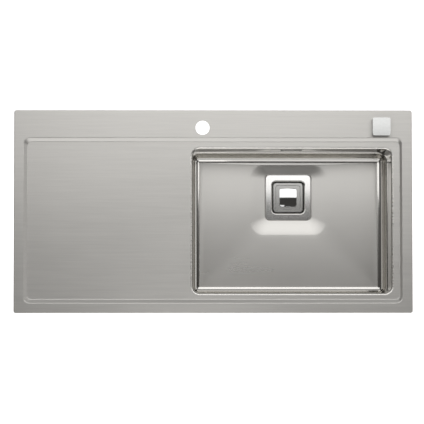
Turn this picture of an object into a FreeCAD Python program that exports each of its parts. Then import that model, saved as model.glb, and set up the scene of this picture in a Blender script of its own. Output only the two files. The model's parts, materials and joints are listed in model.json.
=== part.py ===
import FreeCAD, Part
import math
import os
from collections import namedtuple

# Inset kitchen sink with one bowl, a drainboard on the left and a pop-up waste worked by a knob.
# Millimetres. +X runs along the sink to the bowl side, +Y to the back where the tap stands, +Z up.
# The origin is the middle of the sink at the level of the worktop that carries the rim.

V = FreeCAD.Vector
UP = V(0, 0, 1)
TO_RIGHT = V(1, 0, 0)
TO_BACK = V(0, 1, 0)

# ---- Pressed deck -----------------------------------------------------------------------------
SINK_LENGTH = 1000.0
SINK_WIDTH = 510.0
SINK_CORNER = 6.0
SHEET = 1.0
RIM_HEIGHT = 4.0
RIM_EDGE_RADIUS = 2.0
RIM_LIP_GAP = 0.3

RECESS_MARGIN_LEFT = 24.5
RECESS_MARGIN_RIGHT = 26.0
RECESS_MARGIN_FRONT = 25.5
RECESS_MARGIN_BACK = 70.0
RECESS_DEPTH = 6.0
RECESS_CORNER = 16.0
RECESS_SLOPE = 9.0
RECESS_SLOPE_RIGHT = 5.0
RECESS_BLEND_RADIUS = 6.5

TAP_HOLE_RADIUS = 17.5
TAP_HOLE_X = -27.0
TAP_HOLE_FROM_BACK = 44.5
KNOB_HOLE_RADIUS = 17.5
KNOB_FROM_RIGHT = 78.5
KNOB_FROM_BACK = 43.0

# ---- Bowl -------------------------------------------------------------------------------------
BOWL_LENGTH = 498.6
BOWL_CORNER = 18.0
BOWL_MARGIN_RIGHT = 53.0
BOWL_MARGIN_FRONT = 51.3
BOWL_MARGIN_BACK = 98.1
BOWL_DEPTH = 200.0
BOWL_EDGE_RADIUS = 4.0
COLLAR_DROP = 10.0
FLOOR_FILLET = 17.0
FLOOR_FALL = 5.0

# ---- Rim seal, rails and clips ----------------------------------------------------------------
SEAL_WIDTH = 7.5
SEAL_INSET = 1.2
WORKTOP_THICKNESS = 30.0
RAIL_INSET = 13.0
RAIL_FLANGE = 9.0
RAIL_DROP = 15.0
RAIL_RETURN = 6.0
RAIL_LENGTH = 70.0
CLIP_STRIP = 1.5
CLIP_WIDTH = 15.0
CLIP_PLAY = 0.3
CLIP_FOOT_DROP = 14.5
CLIP_FOOT_INSET = 3.0
CLIP_SCREW_INSET = 6.5
CLIP_SCREW_RADIUS = 2.5
CLIP_SCREW_TAIL = 9.0
CLIP_HEAD_RADIUS = 5.0
CLIP_HEAD_HEIGHT = 3.0
CLIP_SLOT_WIDTH = 1.0
LONG_SIDE_CLIPS = 4
SHORT_SIDE_CLIPS = 2
CLIP_FROM_LEFT = 110.0
CLIP_FROM_RIGHT = 150.0
CLIP_FROM_FRONT = 125.0
CLIP_FROM_BACK = 165.0

# ---- Underside --------------------------------------------------------------------------------
STIFFENER_WIDTH = 40.0
STIFFENER_FOOT = 10.0
STIFFENER_HEIGHT = 12.0
STIFFENER_END_GAP = 14.0
STIFFENER_SPREAD = 190.0
PAD_THICKNESS = 2.0
DRAIN_PAD_WIDTH = 110.0
BOWL_PAD_HEIGHT = 110.0
BOWL_PAD_END_GAP = 55.0
BOWL_PAD_DROP = 50.0
EARTH_TAG_X = 60.0
EARTH_TAG_WIDTH = 16.0
EARTH_TAG_FOOT = 14.0
EARTH_TAG_DROP = 24.0
EARTH_TAG_FROM_BACK = 26.0
EARTH_HOLE_RADIUS = 2.6

# ---- Overflow ---------------------------------------------------------------------------------
OVERFLOW_DROP = 38.0
OVERFLOW_PLATE_LENGTH = 56.0
OVERFLOW_PLATE_HEIGHT = 16.0
OVERFLOW_PLATE_THICKNESS = 1.2
OVERFLOW_SLOT_LENGTH = 34.0
OVERFLOW_SLOT_HEIGHT = 6.5
OVERFLOW_FLANGE_MARGIN = 4.0
OVERFLOW_CORNER = 2.0
OVERFLOW_GASKET = 2.0
OVERFLOW_FLANGE = 3.0
OVERFLOW_DUCT_DEPTH = 26.0
OVERFLOW_WALL = 2.0
OVERFLOW_SCREW_SPREAD = 46.0
OVERFLOW_SCREW_RADIUS = 1.5
OVERFLOW_SCREW_HEAD = 3.0
SPIGOT_RADIUS = 9.4
SPIGOT_BORE = 7.5
SPIGOT_LENGTH = 20.0
HOSE_BORE = 9.5
HOSE_RADIUS = 12.5
HOSE_BEND = 55.0
CLAMP_WIDTH = 9.0
CLAMP_WALL = 1.2

# ---- Waste ------------------------------------------------------------------------------------
WASTE_FROM_BOWL_BACK = 109.0
WELL_SIDE = 118.0
WELL_CORNER = 11.0
WELL_DEPTH = 4.5
WELL_EDGE_RADIUS = 1.5
FLANGE_PLAY = 1.0
FLANGE_SHEET = 1.2
FLANGE_BEND = 3.6
CUP_SIDE = 82.0
CUP_CORNER = 10.5
CUP_PLAY = 0.8
SEAT_DROP = 18.0
SEAT_WIDTH = 7.0
CUP_DROP = 39.0
GRATE_HOLE = 17.0
GRATE_OFFSET = 16.0
GRATE_CORNER = 2.8
HUB_RADIUS = 8.0
HUB_ABOVE = 2.0
HUB_BELOW = 4.0
WASTE_SCREW_OFFSET = 28.0
WASTE_SCREW_RADIUS = 2.5
WASTE_SCREW_HEAD = 4.0
WASTE_SCREW_HEAD_HEIGHT = 3.0
WASTE_SCREW_DRIVE_DEPTH = 1.2
WASTE_SCREW_LENGTH = 20.0
WASTE_POST_RADIUS = 5.0
BODY_GASKET = 3.0
BODY_RIM_HEIGHT = 4.0
BODY_RIM_SIDE = 114.0
BODY_SIDE = 76.0
BODY_CORNER = 12.0
BODY_WALL = 3.0
BODY_DROP = 68.0
OUTLET_RADIUS = 23.9
OUTLET_BORE = 20.0
OUTLET_LENGTH = 29.0
INLET_DROP = 50.0

# ---- Plug -------------------------------------------------------------------------------------
PLUG_GAP = 2.4
PLUG_CORNER = 8.5
PLUG_DROP = 7.5
PLUG_HEIGHT = 8.0
PLUG_WALL = 1.5
PLUG_DISH_SIDE = 62.0
PLUG_DISH_DEPTH = 2.5
PLUG_DISH_CORNER = 5.0
PLUG_EDGE_RADIUS = 1.2
PLUG_SEAL_HEIGHT = 1.4
PLUG_SEAL_INSET = 1.0
PLUG_SEAL_PLAY = 0.1
HANDLE_LENGTH = 44.0
HANDLE_WIDTH = 47.0
HANDLE_CORNER = 6.0
HANDLE_HEIGHT = 9.5
HANDLE_CROWN_RADIUS = 95.0
HANDLE_EDGE_RADIUS = 0.8
HANDLE_SCREW_DEPTH = 4.0
BASKET_SIDE = 60.0
BASKET_CORNER = 7.0
BASKET_SHEET = 1.0
BASKET_DEPTH = 16.0
BASKET_SLOTS = 7
BASKET_SLOT_PITCH = 7.0
BASKET_SLOT_WIDTH = 3.5
BASKET_SLOT_MARGIN = 3.5
PLUG_SCREW_RADIUS = 2.5
PLUG_SCREW_HEAD = 6.0
PLUG_SCREW_HEAD_HEIGHT = 3.0
PLUG_POST_RADIUS = 6.0

# ---- Lever that lifts the plug ----------------------------------------------------------------
ROCK_ANGLE = 50.0
FINGER_REACH = 12.0
FINGER_TIP_RADIUS = 3.0
FINGER_WEB_HALF = 1.8
FINGER_WIDTH = 8.0
FINGER_HUB_RADIUS = 6.0
FINGER_PLAY = 0.3
PIN_RADIUS = 4.0
PIN_LENGTH = 21.0
SLIDING_PLAY = 0.1
SHAFT_RADIUS = 3.0
SHAFT_PLAY = 0.05
BOSS_RADIUS = 9.0
BOSS_LENGTH = 7.0
SHAFT_SEAL_WIDTH = 2.0
SHAFT_SEAL_RADIUS = 8.0
GLAND_WALL = 3.0
GLAND_ACROSS_FLATS = 24.0
CRANK_DROP = 19.0
CRANK_THICKNESS = 4.0
CRANK_HUB_RADIUS = 7.0
CRANK_HALF_WIDTH = 5.5
CRANK_GAP = 1.5
CRANK_SLOT_PLAY = 0.6
CRANK_SLOT_HALF_LENGTH = 1.5
NIPPLE_RADIUS = 3.0
NIPPLE_LENGTH = 13.0
WIRE_RADIUS = 0.8
WIRE_OUTBOARD = 4.0
WIRE_TAIL = 6.0
WIRE_IN_SHEATH = 22.0

# ---- Cable and control under the knob ---------------------------------------------------------
SHEATH_RADIUS = 2.5
SHEATH_BORE = 1.2
SHEATH_PLAY = 0.1
BRACKET_SHEET = 2.5
BRACKET_HALF_HEIGHT = 14.0
BRACKET_REACH = 26.0
BRACKET_WIDTH = 28.0
FERRULE_RADIUS = 4.0
FERRULE_LENGTH = 24.0
FERRULE_SEAT = 8.0
FERRULE_TIP = 1.0
FERRULE_NUT_ACROSS_FLATS = 13.0
FERRULE_NUT_HEIGHT = 4.0
ROUTE_FIRST_RUN = 88.0
ROUTE_MIDDLE_OUT = 3.0
ROUTE_MIDDLE_DROP = 104.0
ROUTE_BEHIND_BOWL = 34.0
ROUTE_SHARE = 0.45
KNOB_TURN = 90.0
KNOB_SIDE = 45.0
KNOB_CORNER = 5.0
KNOB_HEIGHT = 24.0
KNOB_GAP = 1.0
KNOB_WALL = 2.5
KNOB_EDGE_RADIUS = 0.8
KNOB_SOCKET_RADIUS = 8.0
SPINDLE_RADIUS = 4.0
SPINDLE_IN_KNOB = 11.0
NECK_RADIUS = 15.0
NECK_ABOVE_DECK = 7.0
TOP_NUT_RADIUS = 19.0
TOP_NUT_HEIGHT = 5.0
TOP_NUT_FLAT_DEPTH = 1.0
CONTROL_WASHER = 1.0
CONTROL_GASKET = 1.5
CONTROL_FLANGE_RADIUS = 23.0
CONTROL_FLANGE = 3.0
CONTROL_WALL = 3.5
CONTROL_CEILING = 3.5
DRUM_FLANGE_STEP = 2.8
DRUM_FLANGE = 3.0
DRUM_GROOVE = 3.0
DRUM_PLAY = 2.0
LID_THICKNESS = 2.5
LID_LUG_RADIUS = 4.0
LID_LUG_HEIGHT = 12.0
LID_SCREW_RADIUS = 1.5
LID_SCREW_HEAD = 2.8
LID_SCREW_HEAD_HEIGHT = 1.5
CABLE_SOCKET_RADIUS = 5.5
CABLE_SOCKET_LENGTH = 13.0

# ---- Levels and centres worked out from the sizes ---------------------------------------------
DECK_TOP = RIM_HEIGHT
DECK_UNDER = DECK_TOP - SHEET
TRAY_TOP = DECK_TOP - RECESS_DEPTH
TRAY_UNDER = TRAY_TOP - SHEET
COLLAR_END = TRAY_TOP - COLLAR_DROP
FLOOR_EDGE = DECK_TOP - BOWL_DEPTH
FLOOR_LOW = FLOOR_EDGE - FLOOR_FALL
LEDGE_TOP = FLOOR_LOW - WELL_DEPTH
LEDGE_UNDER = LEDGE_TOP - SHEET
SEAT_TOP = FLOOR_LOW - SEAT_DROP
CUP_FLOOR = FLOOR_LOW - CUP_DROP
CUP_UNDER = CUP_FLOOR - FLANGE_SHEET
BODY_TOP = LEDGE_UNDER - BODY_GASKET
BODY_FLOOR = FLOOR_LOW - BODY_DROP
BODY_UNDER = BODY_FLOOR - BODY_WALL
INLET_Z = FLOOR_LOW - INLET_DROP
PLUG_TOP = FLOOR_LOW - PLUG_DROP
PLUG_UNDER = PLUG_TOP - PLUG_HEIGHT
BASKET_TOP = SEAT_TOP + PLUG_SEAL_PLAY + PLUG_SEAL_HEIGHT
BASKET_UNDER = BASKET_TOP - BASKET_DEPTH
PIN_TOP = BASKET_UNDER - PLUG_SCREW_HEAD_HEIGHT
PIN_UNDER = PIN_TOP - PIN_LENGTH
OVERFLOW_Z = DECK_TOP - OVERFLOW_DROP

BACK_EDGE = SINK_WIDTH / 2
RIGHT_EDGE = SINK_LENGTH / 2
BOWL_WIDTH = SINK_WIDTH - BOWL_MARGIN_FRONT - BOWL_MARGIN_BACK
BOWL_X = RIGHT_EDGE - BOWL_MARGIN_RIGHT - BOWL_LENGTH / 2
BOWL_Y = -BACK_EDGE + BOWL_MARGIN_FRONT + BOWL_WIDTH / 2
BOWL_BACK = BACK_EDGE - BOWL_MARGIN_BACK
BOWL_LEFT = BOWL_X - BOWL_LENGTH / 2
WASTE_X = BOWL_X
WASTE_Y = BOWL_BACK - WASTE_FROM_BOWL_BACK
KNOB_X = RIGHT_EDGE - KNOB_FROM_RIGHT
KNOB_Y = BACK_EDGE - KNOB_FROM_BACK
TAP_HOLE_Y = BACK_EDGE - TAP_HOLE_FROM_BACK

# The finger swings equally above and below the shaft, and so does the crank either side of it.
HALF_ROCK = math.radians(ROCK_ANGLE / 2)
WIRE_TRAVEL = 2 * CRANK_DROP * math.tan(HALF_ROCK)
DRUM_PITCH_RADIUS = WIRE_TRAVEL / math.radians(KNOB_TURN)
SHAFT_Y = WASTE_Y - FINGER_REACH * math.cos(HALF_ROCK)
SHAFT_Z = PIN_UNDER - FINGER_PLAY - FINGER_TIP_RADIUS + FINGER_REACH * math.sin(HALF_ROCK)
WIRE_Z = SHAFT_Z - CRANK_DROP
NIPPLE_Y = SHAFT_Y - WIRE_TRAVEL / 2
BODY_SIDE_X = WASTE_X + BODY_SIDE / 2 + BODY_WALL
GLAND_X = BODY_SIDE_X + BRACKET_SHEET
GLAND_LENGTH = BOSS_LENGTH - BRACKET_SHEET + SHAFT_SEAL_WIDTH + GLAND_WALL
CRANK_X = GLAND_X + GLAND_LENGTH + CRANK_GAP
WIRE_X = CRANK_X + CRANK_THICKNESS + WIRE_OUTBOARD
BRACKET_Y = SHAFT_Y + BRACKET_REACH
SHEATH_END_Y = BRACKET_Y + FERRULE_SEAT

CONTROL_TOP = DECK_UNDER - CONTROL_GASKET
DRUM_RADIUS = DRUM_PITCH_RADIUS + DRUM_FLANGE_STEP
CONTROL_BORE = DRUM_RADIUS + DRUM_PLAY
CONTROL_RADIUS = CONTROL_BORE + CONTROL_WALL
CHAMBER_TOP = CONTROL_TOP - CONTROL_FLANGE - CONTROL_CEILING
DRUM_TOP = CHAMBER_TOP - DRUM_PLAY
DRUM_UNDER = DRUM_TOP - 2 * DRUM_FLANGE - DRUM_GROOVE
DRUM_MIDDLE = (DRUM_TOP + DRUM_UNDER) / 2
CHAMBER_UNDER = DRUM_UNDER - DRUM_PLAY
DRUM_WIRE_Y = KNOB_Y - DRUM_PITCH_RADIUS
KNOB_UNDER = DECK_TOP + KNOB_GAP
KNOB_TOP = KNOB_UNDER + KNOB_HEIGHT
SHEATH_START_X = KNOB_X - CONTROL_RADIUS
LID_LUG_X = CONTROL_RADIUS + LID_LUG_RADIUS / 2


class Plan(namedtuple("Plan", "x y length width corner")):
    """A rectangle with round corners, seen from above."""

    def grow(self, by):
        return Plan(self.x, self.y, self.length + 2 * by, self.width + 2 * by, self.corner + by)


RIM = Plan(0, 0, SINK_LENGTH, SINK_WIDTH, SINK_CORNER)


def recess_plan(left, right, front, back, corner):
    """The plan that leaves these margins to the rim."""
    return Plan(
        (left - right) / 2,
        (front - back) / 2,
        SINK_LENGTH - left - right,
        SINK_WIDTH - front - back,
        corner,
    )


RECESS = recess_plan(
    RECESS_MARGIN_LEFT, RECESS_MARGIN_RIGHT, RECESS_MARGIN_FRONT, RECESS_MARGIN_BACK, RECESS_CORNER
)
TRAY = recess_plan(
    RECESS_MARGIN_LEFT + RECESS_SLOPE,
    RECESS_MARGIN_RIGHT + RECESS_SLOPE_RIGHT,
    RECESS_MARGIN_FRONT + RECESS_SLOPE,
    RECESS_MARGIN_BACK + RECESS_SLOPE,
    RECESS_CORNER - RECESS_SLOPE_RIGHT,
)


def under_shift(slope):
    """How far the sheet's underside stands outside its top face at both ends of a slope."""
    return SHEET * math.tan(math.atan2(RECESS_DEPTH, slope) / 2)


def sheet_under(plan):
    """The plan of the recess or the tray, taken on the sheet's underside."""
    shift = under_shift(RECESS_SLOPE)
    shift_right = under_shift(RECESS_SLOPE_RIGHT)
    return Plan(
        plan.x + (shift_right - shift) / 2,
        plan.y,
        plan.length + shift + shift_right,
        plan.width + 2 * shift,
        plan.corner + shift,
    )


BOWL = Plan(BOWL_X, BOWL_Y, BOWL_LENGTH, BOWL_WIDTH, BOWL_CORNER)


def waste_plan(side, corner):
    """A square about the middle of the waste."""
    return Plan(WASTE_X, WASTE_Y, side, side, corner)


WELL = waste_plan(WELL_SIDE, WELL_CORNER)
FLANGE = WELL.grow(-FLANGE_PLAY)
CUP = waste_plan(CUP_SIDE, CUP_CORNER)
WELL_HOLE = CUP.grow(FLANGE_SHEET + CUP_PLAY)
LOWER_CUP = CUP.grow(-SEAT_WIDTH)
BODY = waste_plan(BODY_SIDE, BODY_CORNER)
PLUG = waste_plan(CUP_SIDE - 2 * PLUG_GAP, PLUG_CORNER)
BASKET = waste_plan(BASKET_SIDE, BASKET_CORNER)


# ---- Shape helpers ----------------------------------------------------------------------------
def outline(plan, z):
    """Closed wire of four lines and four corner arcs at one level."""
    half_x, half_y, r = plan.length / 2, plan.width / 2, plan.corner
    edges = []
    for quarter in range(4):
        turn = math.pi / 2 * quarter
        reach_x, reach_y = ((half_x, half_y), (half_y, half_x))[quarter % 2]

        def spot(u, v):
            return V(
                plan.x + u * math.cos(turn) - v * math.sin(turn),
                plan.y + u * math.sin(turn) + v * math.cos(turn),
                z,
            )

        bend = r * (1 - math.sqrt(0.5))
        start = spot(reach_x, reach_y - r)
        middle = spot(reach_x - bend, reach_y - bend)
        end = spot(reach_x - r, reach_y)
        edges.append(Part.LineSegment(spot(reach_x, r - reach_y), start).toShape())
        edges.append(Part.Arc(start, middle, end).toShape())
    return Part.Wire(edges)


def prism(plan, z_low, z_high):
    """Upright block with the plan's outline."""
    return Part.Face(outline(plan, z_low)).extrude(UP * (z_high - z_low))


def funnel(plan_low, z_low, plan_high, z_high):
    """Block whose sides run straight from one plan to another."""
    return Part.makeLoft([outline(plan_low, z_low), outline(plan_high, z_high)], True, True)


def post(x, y, z_low, z_high, radius):
    """Upright cylinder."""
    return Part.makeCylinder(radius, z_high - z_low, V(x, y, z_low))


def rod(start, direction, length, radius):
    """Cylinder from a point along a direction."""
    return Part.makeCylinder(radius, length, start, direction)


def block(x_span, y_span, z_span):
    """Box between three pairs of coordinates."""
    low = V(min(x_span), min(y_span), min(z_span))
    return Part.makeBox(
        abs(x_span[1] - x_span[0]), abs(y_span[1] - y_span[0]), abs(z_span[1] - z_span[0]), low
    )


def hexagon(start, direction, length, across_flats):
    """Six-sided bar from a point along a direction."""
    radius = across_flats / math.sqrt(3)
    corners = [
        V(radius * math.cos(math.radians(60 * n)), radius * math.sin(math.radians(60 * n)), 0)
        for n in range(7)
    ]
    bar = Part.Face(Part.makePolygon(corners)).extrude(UP * length)
    bar.Placement = FreeCAD.Placement(start, FreeCAD.Rotation(UP, direction))
    return bar


def bent_strip(points, width):
    """Strip whose section is given as (inward, up) points, centred on its length."""
    corners = [V(u, -width / 2, z) for u, z in points]
    return Part.Face(Part.makePolygon(corners + corners[:1])).extrude(TO_BACK * width)


def edges_on(shape, path):
    """The shape's edges that lie on a wire."""
    found = []
    for edge in shape.Edges:
        first, last = edge.ParameterRange
        places = [edge.valueAt(first), edge.valueAt((first + last) / 2), edge.valueAt(last)]
        if all(path.distToShape(Part.Vertex(place))[0] < 0.01 for place in places):
            found.append(edge)
    return found


def rounded(shape, path, radius):
    """The shape with its edges along a wire rounded."""
    return shape.makeFillet(radius, edges_on(shape, path))


def joined(first, *others):
    """One clean solid made of touching solids."""
    return first.fuse(list(others)).removeSplitter()


def on_rim(shape, side, along):
    """A piece drawn with X inward from the rim's edge, set at a place on one side."""
    places = {
        "left": (V(-RIGHT_EDGE, along, 0), 0),
        "front": (V(along, -BACK_EDGE, 0), 90),
        "right": (V(RIGHT_EDGE, along, 0), 180),
        "back": (V(along, BACK_EDGE, 0), 270),
    }
    base, angle = places[side]
    piece = shape.copy()
    piece.Placement = FreeCAD.Placement(base, FreeCAD.Rotation(UP, angle))
    return piece


def route(points, share):
    """Straight runs joined by tangent arcs, each arc as large as its two runs allow."""
    edges = []
    here = points[0]
    for before, corner, after in zip(points, points[1:], points[2:]):
        back = (before - corner).normalize()
        ahead = (after - corner).normalize()
        turn = math.pi - back.getAngle(ahead)
        reach = share * min((before - corner).Length, (after - corner).Length)
        radius = reach / math.tan(turn / 2)
        to_centre = (back + ahead).normalize()
        start = corner + back * reach
        end = corner + ahead * reach
        middle = corner + to_centre * (radius / math.cos(turn / 2) - radius)
        edges.append(Part.LineSegment(here, start).toShape())
        edges.append(Part.Arc(start, middle, end).toShape())
        here = end
        print(f"bend radius {radius:.1f} mm")
    edges.append(Part.LineSegment(here, points[-1]).toShape())
    return Part.Wire(edges)


def pipe(path, radius):
    """Round bar along a path."""
    first = path.Edges[0]
    start = first.valueAt(first.FirstParameter)
    heading = first.tangentAt(first.FirstParameter)
    ring = Part.Wire(Part.makeCircle(radius, start, heading))
    bar = path.makePipeShell([ring], True, False)
    expected = math.pi * radius**2 * path.Length
    print(f"pipe volume {bar.Volume / expected:.4f} of its section times its length")
    return bar


def hose(path, radius, bore):
    """Tube along a path."""
    return pipe(path, radius).cut(pipe(path, bore))


# ---- Deck and bowl ----------------------------------------------------------------------------
def deck_panel():
    """Pressed sheet: turned-down rim, recessed drainboard, collar round the bowl, two holes."""
    skin = rounded(prism(RIM, RIM_LIP_GAP, DECK_TOP), outline(RIM, DECK_TOP), RIM_EDGE_RADIUS)
    inside = RIM.grow(-SHEET)
    hollow = prism(inside, RIM_LIP_GAP - SHEET, DECK_UNDER)
    hollow = rounded(hollow, outline(inside, DECK_UNDER), RIM_EDGE_RADIUS - SHEET)
    tray = funnel(sheet_under(TRAY), TRAY_UNDER, sheet_under(RECESS), DECK_UNDER)
    collar = prism(BOWL.grow(SHEET), COLLAR_END, TRAY_TOP)
    panel = joined(skin.cut(hollow), tray, collar)
    panel = rounded(panel, outline(BOWL.grow(SHEET), TRAY_UNDER), BOWL_EDGE_RADIUS - SHEET)
    panel = rounded(panel, outline(sheet_under(RECESS), DECK_UNDER), RECESS_BLEND_RADIUS - SHEET)
    panel = rounded(panel, outline(sheet_under(TRAY), TRAY_UNDER), RECESS_BLEND_RADIUS + SHEET)
    panel = panel.cut(funnel(TRAY, TRAY_TOP, RECESS, DECK_TOP))
    panel = rounded(panel, outline(RECESS, DECK_TOP), RECESS_BLEND_RADIUS)
    panel = rounded(panel, outline(TRAY, TRAY_TOP), RECESS_BLEND_RADIUS)
    panel = panel.cut(prism(BOWL, COLLAR_END, DECK_TOP))
    panel = rounded(panel, outline(BOWL, TRAY_TOP), BOWL_EDGE_RADIUS)
    tap_hole = post(TAP_HOLE_X, TAP_HOLE_Y, DECK_UNDER, DECK_TOP, TAP_HOLE_RADIUS)
    knob_hole = post(KNOB_X, KNOB_Y, DECK_UNDER, DECK_TOP, KNOB_HOLE_RADIUS)
    return panel.cut([tap_hole, knob_hole])


def bowl_volume(grown, lowered):
    """The bowl's inside, or its outside when grown and lowered by the sheet."""
    plan = BOWL.grow(grown)
    fillet = FLOOR_FILLET + grown
    floor = FLOOR_EDGE - lowered
    walls = rounded(prism(plan, floor, COLLAR_END), outline(plan, floor), fillet)
    flat = plan.grow(-fillet)
    fall = funnel(WELL.grow(grown), FLOOR_LOW - lowered, flat, floor)
    well = prism(WELL.grow(grown), LEDGE_TOP - lowered, FLOOR_LOW - lowered)
    return joined(walls, fall, well)


def bowl_shell():
    """Welded bowl with a floor falling to a square well, open for the waste and the overflow."""
    shell = bowl_volume(SHEET, SHEET).cut(bowl_volume(0, 0))
    shell = rounded(shell, outline(WELL, FLOOR_LOW), WELL_EDGE_RADIUS)
    hole = prism(WELL_HOLE, LEDGE_UNDER, LEDGE_TOP)
    return shell.cut([hole, overflow_opening(BOWL_BACK, BOWL_BACK + SHEET), *overflow_screw_holes()])


def overflow_opening(y_near, y_far):
    """The long slot that water leaves by."""
    half_length = OVERFLOW_SLOT_LENGTH / 2
    half_height = OVERFLOW_SLOT_HEIGHT / 2
    return block(
        (BOWL_X - half_length, BOWL_X + half_length),
        (y_near, y_far),
        (OVERFLOW_Z - half_height, OVERFLOW_Z + half_height),
    )


def overflow_screw_places():
    """Where the two overflow screws cross the cover plate's outer face."""
    y = BOWL_BACK - OVERFLOW_PLATE_THICKNESS
    return [V(BOWL_X + side * OVERFLOW_SCREW_SPREAD / 2, y, OVERFLOW_Z) for side in (-1, 1)]


def overflow_screw_holes():
    """Cuts for the screws through the plate, the wall, the gasket and the elbow's flange."""
    length = OVERFLOW_PLATE_THICKNESS + SHEET + OVERFLOW_GASKET + OVERFLOW_FLANGE
    radius = OVERFLOW_SCREW_RADIUS + SHAFT_PLAY
    return [rod(place, TO_BACK, length, radius) for place in overflow_screw_places()]


# ---- Rim seal, rails and clips ----------------------------------------------------------------
def edge_seal():
    """Foam strip under the rim, which the sink stands on."""
    outer = RIM.grow(-SHEET - SEAL_INSET)
    length = outer.length - 2 * SEAL_WIDTH
    inner = Plan(outer.x, outer.y, length, outer.width - 2 * SEAL_WIDTH, outer.corner)
    return prism(outer, 0, DECK_UNDER).cut(prism(inner, 0, DECK_UNDER))


def clip_places(side):
    """Where the clips stand along one side."""
    if side in ("front", "back"):
        first = CLIP_FROM_LEFT - RIGHT_EDGE
        last = RIGHT_EDGE - CLIP_FROM_RIGHT
        count = LONG_SIDE_CLIPS
    else:
        first = CLIP_FROM_FRONT - BACK_EDGE
        last = BACK_EDGE - CLIP_FROM_BACK
        count = SHORT_SIDE_CLIPS
    return [first + (last - first) * number / (count - 1) for number in range(count)]


def rail_section():
    """A rail's section: welded flange, web and the return that a clip hooks over."""
    web_in = RAIL_INSET + SHEET
    return_top = DECK_UNDER - RAIL_DROP
    return [
        (RAIL_INSET, DECK_UNDER),
        (RAIL_INSET + RAIL_FLANGE, DECK_UNDER),
        (RAIL_INSET + RAIL_FLANGE, DECK_UNDER - SHEET),
        (web_in, DECK_UNDER - SHEET),
        (web_in, return_top),
        (RAIL_INSET + RAIL_RETURN, return_top),
        (RAIL_INSET + RAIL_RETURN, return_top - SHEET),
        (RAIL_INSET, return_top - SHEET),
    ]


def clip_rails(side):
    """Short rails welded under one side of the deck, one for each clip."""
    rail = bent_strip(rail_section(), RAIL_LENGTH)
    return Part.makeCompound([on_rim(rail, side, along) for along in clip_places(side)])


def clip_foot_top():
    """Level of the clip foot's upper face."""
    return -WORKTOP_THICKNESS - CLIP_FOOT_DROP


def fixing_clips():
    """Hooked straps that reach out under the worktop."""
    hook_low = DECK_UNDER - RAIL_DROP
    hook_top = hook_low + CLIP_STRIP
    leg_out = RAIL_INSET + RAIL_RETURN + CLIP_PLAY
    leg_in = leg_out + CLIP_STRIP
    foot_top = clip_foot_top()
    hook_start = RAIL_INSET + SHEET + CLIP_PLAY
    strap = bent_strip(
        [
            (hook_start, hook_top),
            (leg_in, hook_top),
            (leg_in, foot_top - CLIP_STRIP),
            (CLIP_FOOT_INSET, foot_top - CLIP_STRIP),
            (CLIP_FOOT_INSET, foot_top),
            (leg_out, foot_top),
            (leg_out, hook_low),
            (hook_start, hook_low),
        ],
        CLIP_WIDTH,
    )
    hole_radius = CLIP_SCREW_RADIUS + SHAFT_PLAY
    strap = strap.cut(post(CLIP_SCREW_INSET, 0, foot_top - CLIP_STRIP, foot_top, hole_radius))
    sides = ("front", "back", "left", "right")
    return Part.makeCompound(
        [on_rim(strap, side, along) for side in sides for along in clip_places(side)]
    )


def clip_screws():
    """Slotted screws that bear on the worktop's underside."""
    foot_under = clip_foot_top() - CLIP_STRIP
    head_top = foot_under - CLIP_SCREW_TAIL
    head_under = head_top - CLIP_HEAD_HEIGHT
    shank = post(CLIP_SCREW_INSET, 0, head_top, -WORKTOP_THICKNESS, CLIP_SCREW_RADIUS)
    head = post(CLIP_SCREW_INSET, 0, head_under, head_top, CLIP_HEAD_RADIUS)
    slot = block(
        (CLIP_SCREW_INSET - CLIP_HEAD_RADIUS, CLIP_SCREW_INSET + CLIP_HEAD_RADIUS),
        (-CLIP_SLOT_WIDTH / 2, CLIP_SLOT_WIDTH / 2),
        (head_under, head_under + CLIP_HEAD_HEIGHT / 2),
    )
    screw = joined(shank, head).cut(slot)
    sides = ("front", "back", "left", "right")
    return Part.makeCompound(
        [on_rim(screw, side, along) for side in sides for along in clip_places(side)]
    )


# ---- Underside --------------------------------------------------------------------------------
def tray_span():
    """The drainboard's flat length between the recess wall and the bowl's collar."""
    return TRAY.x - TRAY.length / 2 + STIFFENER_END_GAP, BOWL_LEFT - STIFFENER_END_GAP


def stiffener(y):
    """Hat-shaped bar welded under the drainboard."""
    half = STIFFENER_WIDTH / 2
    brim = half - STIFFENER_FOOT
    low = TRAY_UNDER - STIFFENER_HEIGHT
    section = [
        (-half, TRAY_UNDER),
        (-brim + SHEET, TRAY_UNDER),
        (-brim + SHEET, low + SHEET),
        (brim - SHEET, low + SHEET),
        (brim - SHEET, TRAY_UNDER),
        (half, TRAY_UNDER),
        (half, TRAY_UNDER - SHEET),
        (brim, TRAY_UNDER - SHEET),
        (brim, low),
        (-brim, low),
        (-brim, TRAY_UNDER - SHEET),
        (-half, TRAY_UNDER - SHEET),
    ]
    left, right = tray_span()
    corners = [V(left, y + across, z) for across, z in section]
    return Part.Face(Part.makePolygon(corners + corners[:1])).extrude(TO_RIGHT * (right - left))


def drain_pad():
    """Damping pad under the drainboard, between the bars."""
    left, right = tray_span()
    half = DRAIN_PAD_WIDTH / 2
    return block((left, right), (TRAY.y - half, TRAY.y + half), (TRAY_UNDER - PAD_THICKNESS, TRAY_UNDER))


def bowl_side_pad(side):
    """Damping pad on the left (-1) or right (1) wall of the bowl."""
    face = BOWL_X + side * (BOWL_LENGTH / 2 + SHEET)
    reach = BOWL_WIDTH / 2 - BOWL_PAD_END_GAP
    top = DECK_TOP - BOWL_PAD_DROP
    return block(
        (face, face + side * PAD_THICKNESS),
        (BOWL_Y - reach, BOWL_Y + reach),
        (top - BOWL_PAD_HEIGHT, top),
    )


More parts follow.
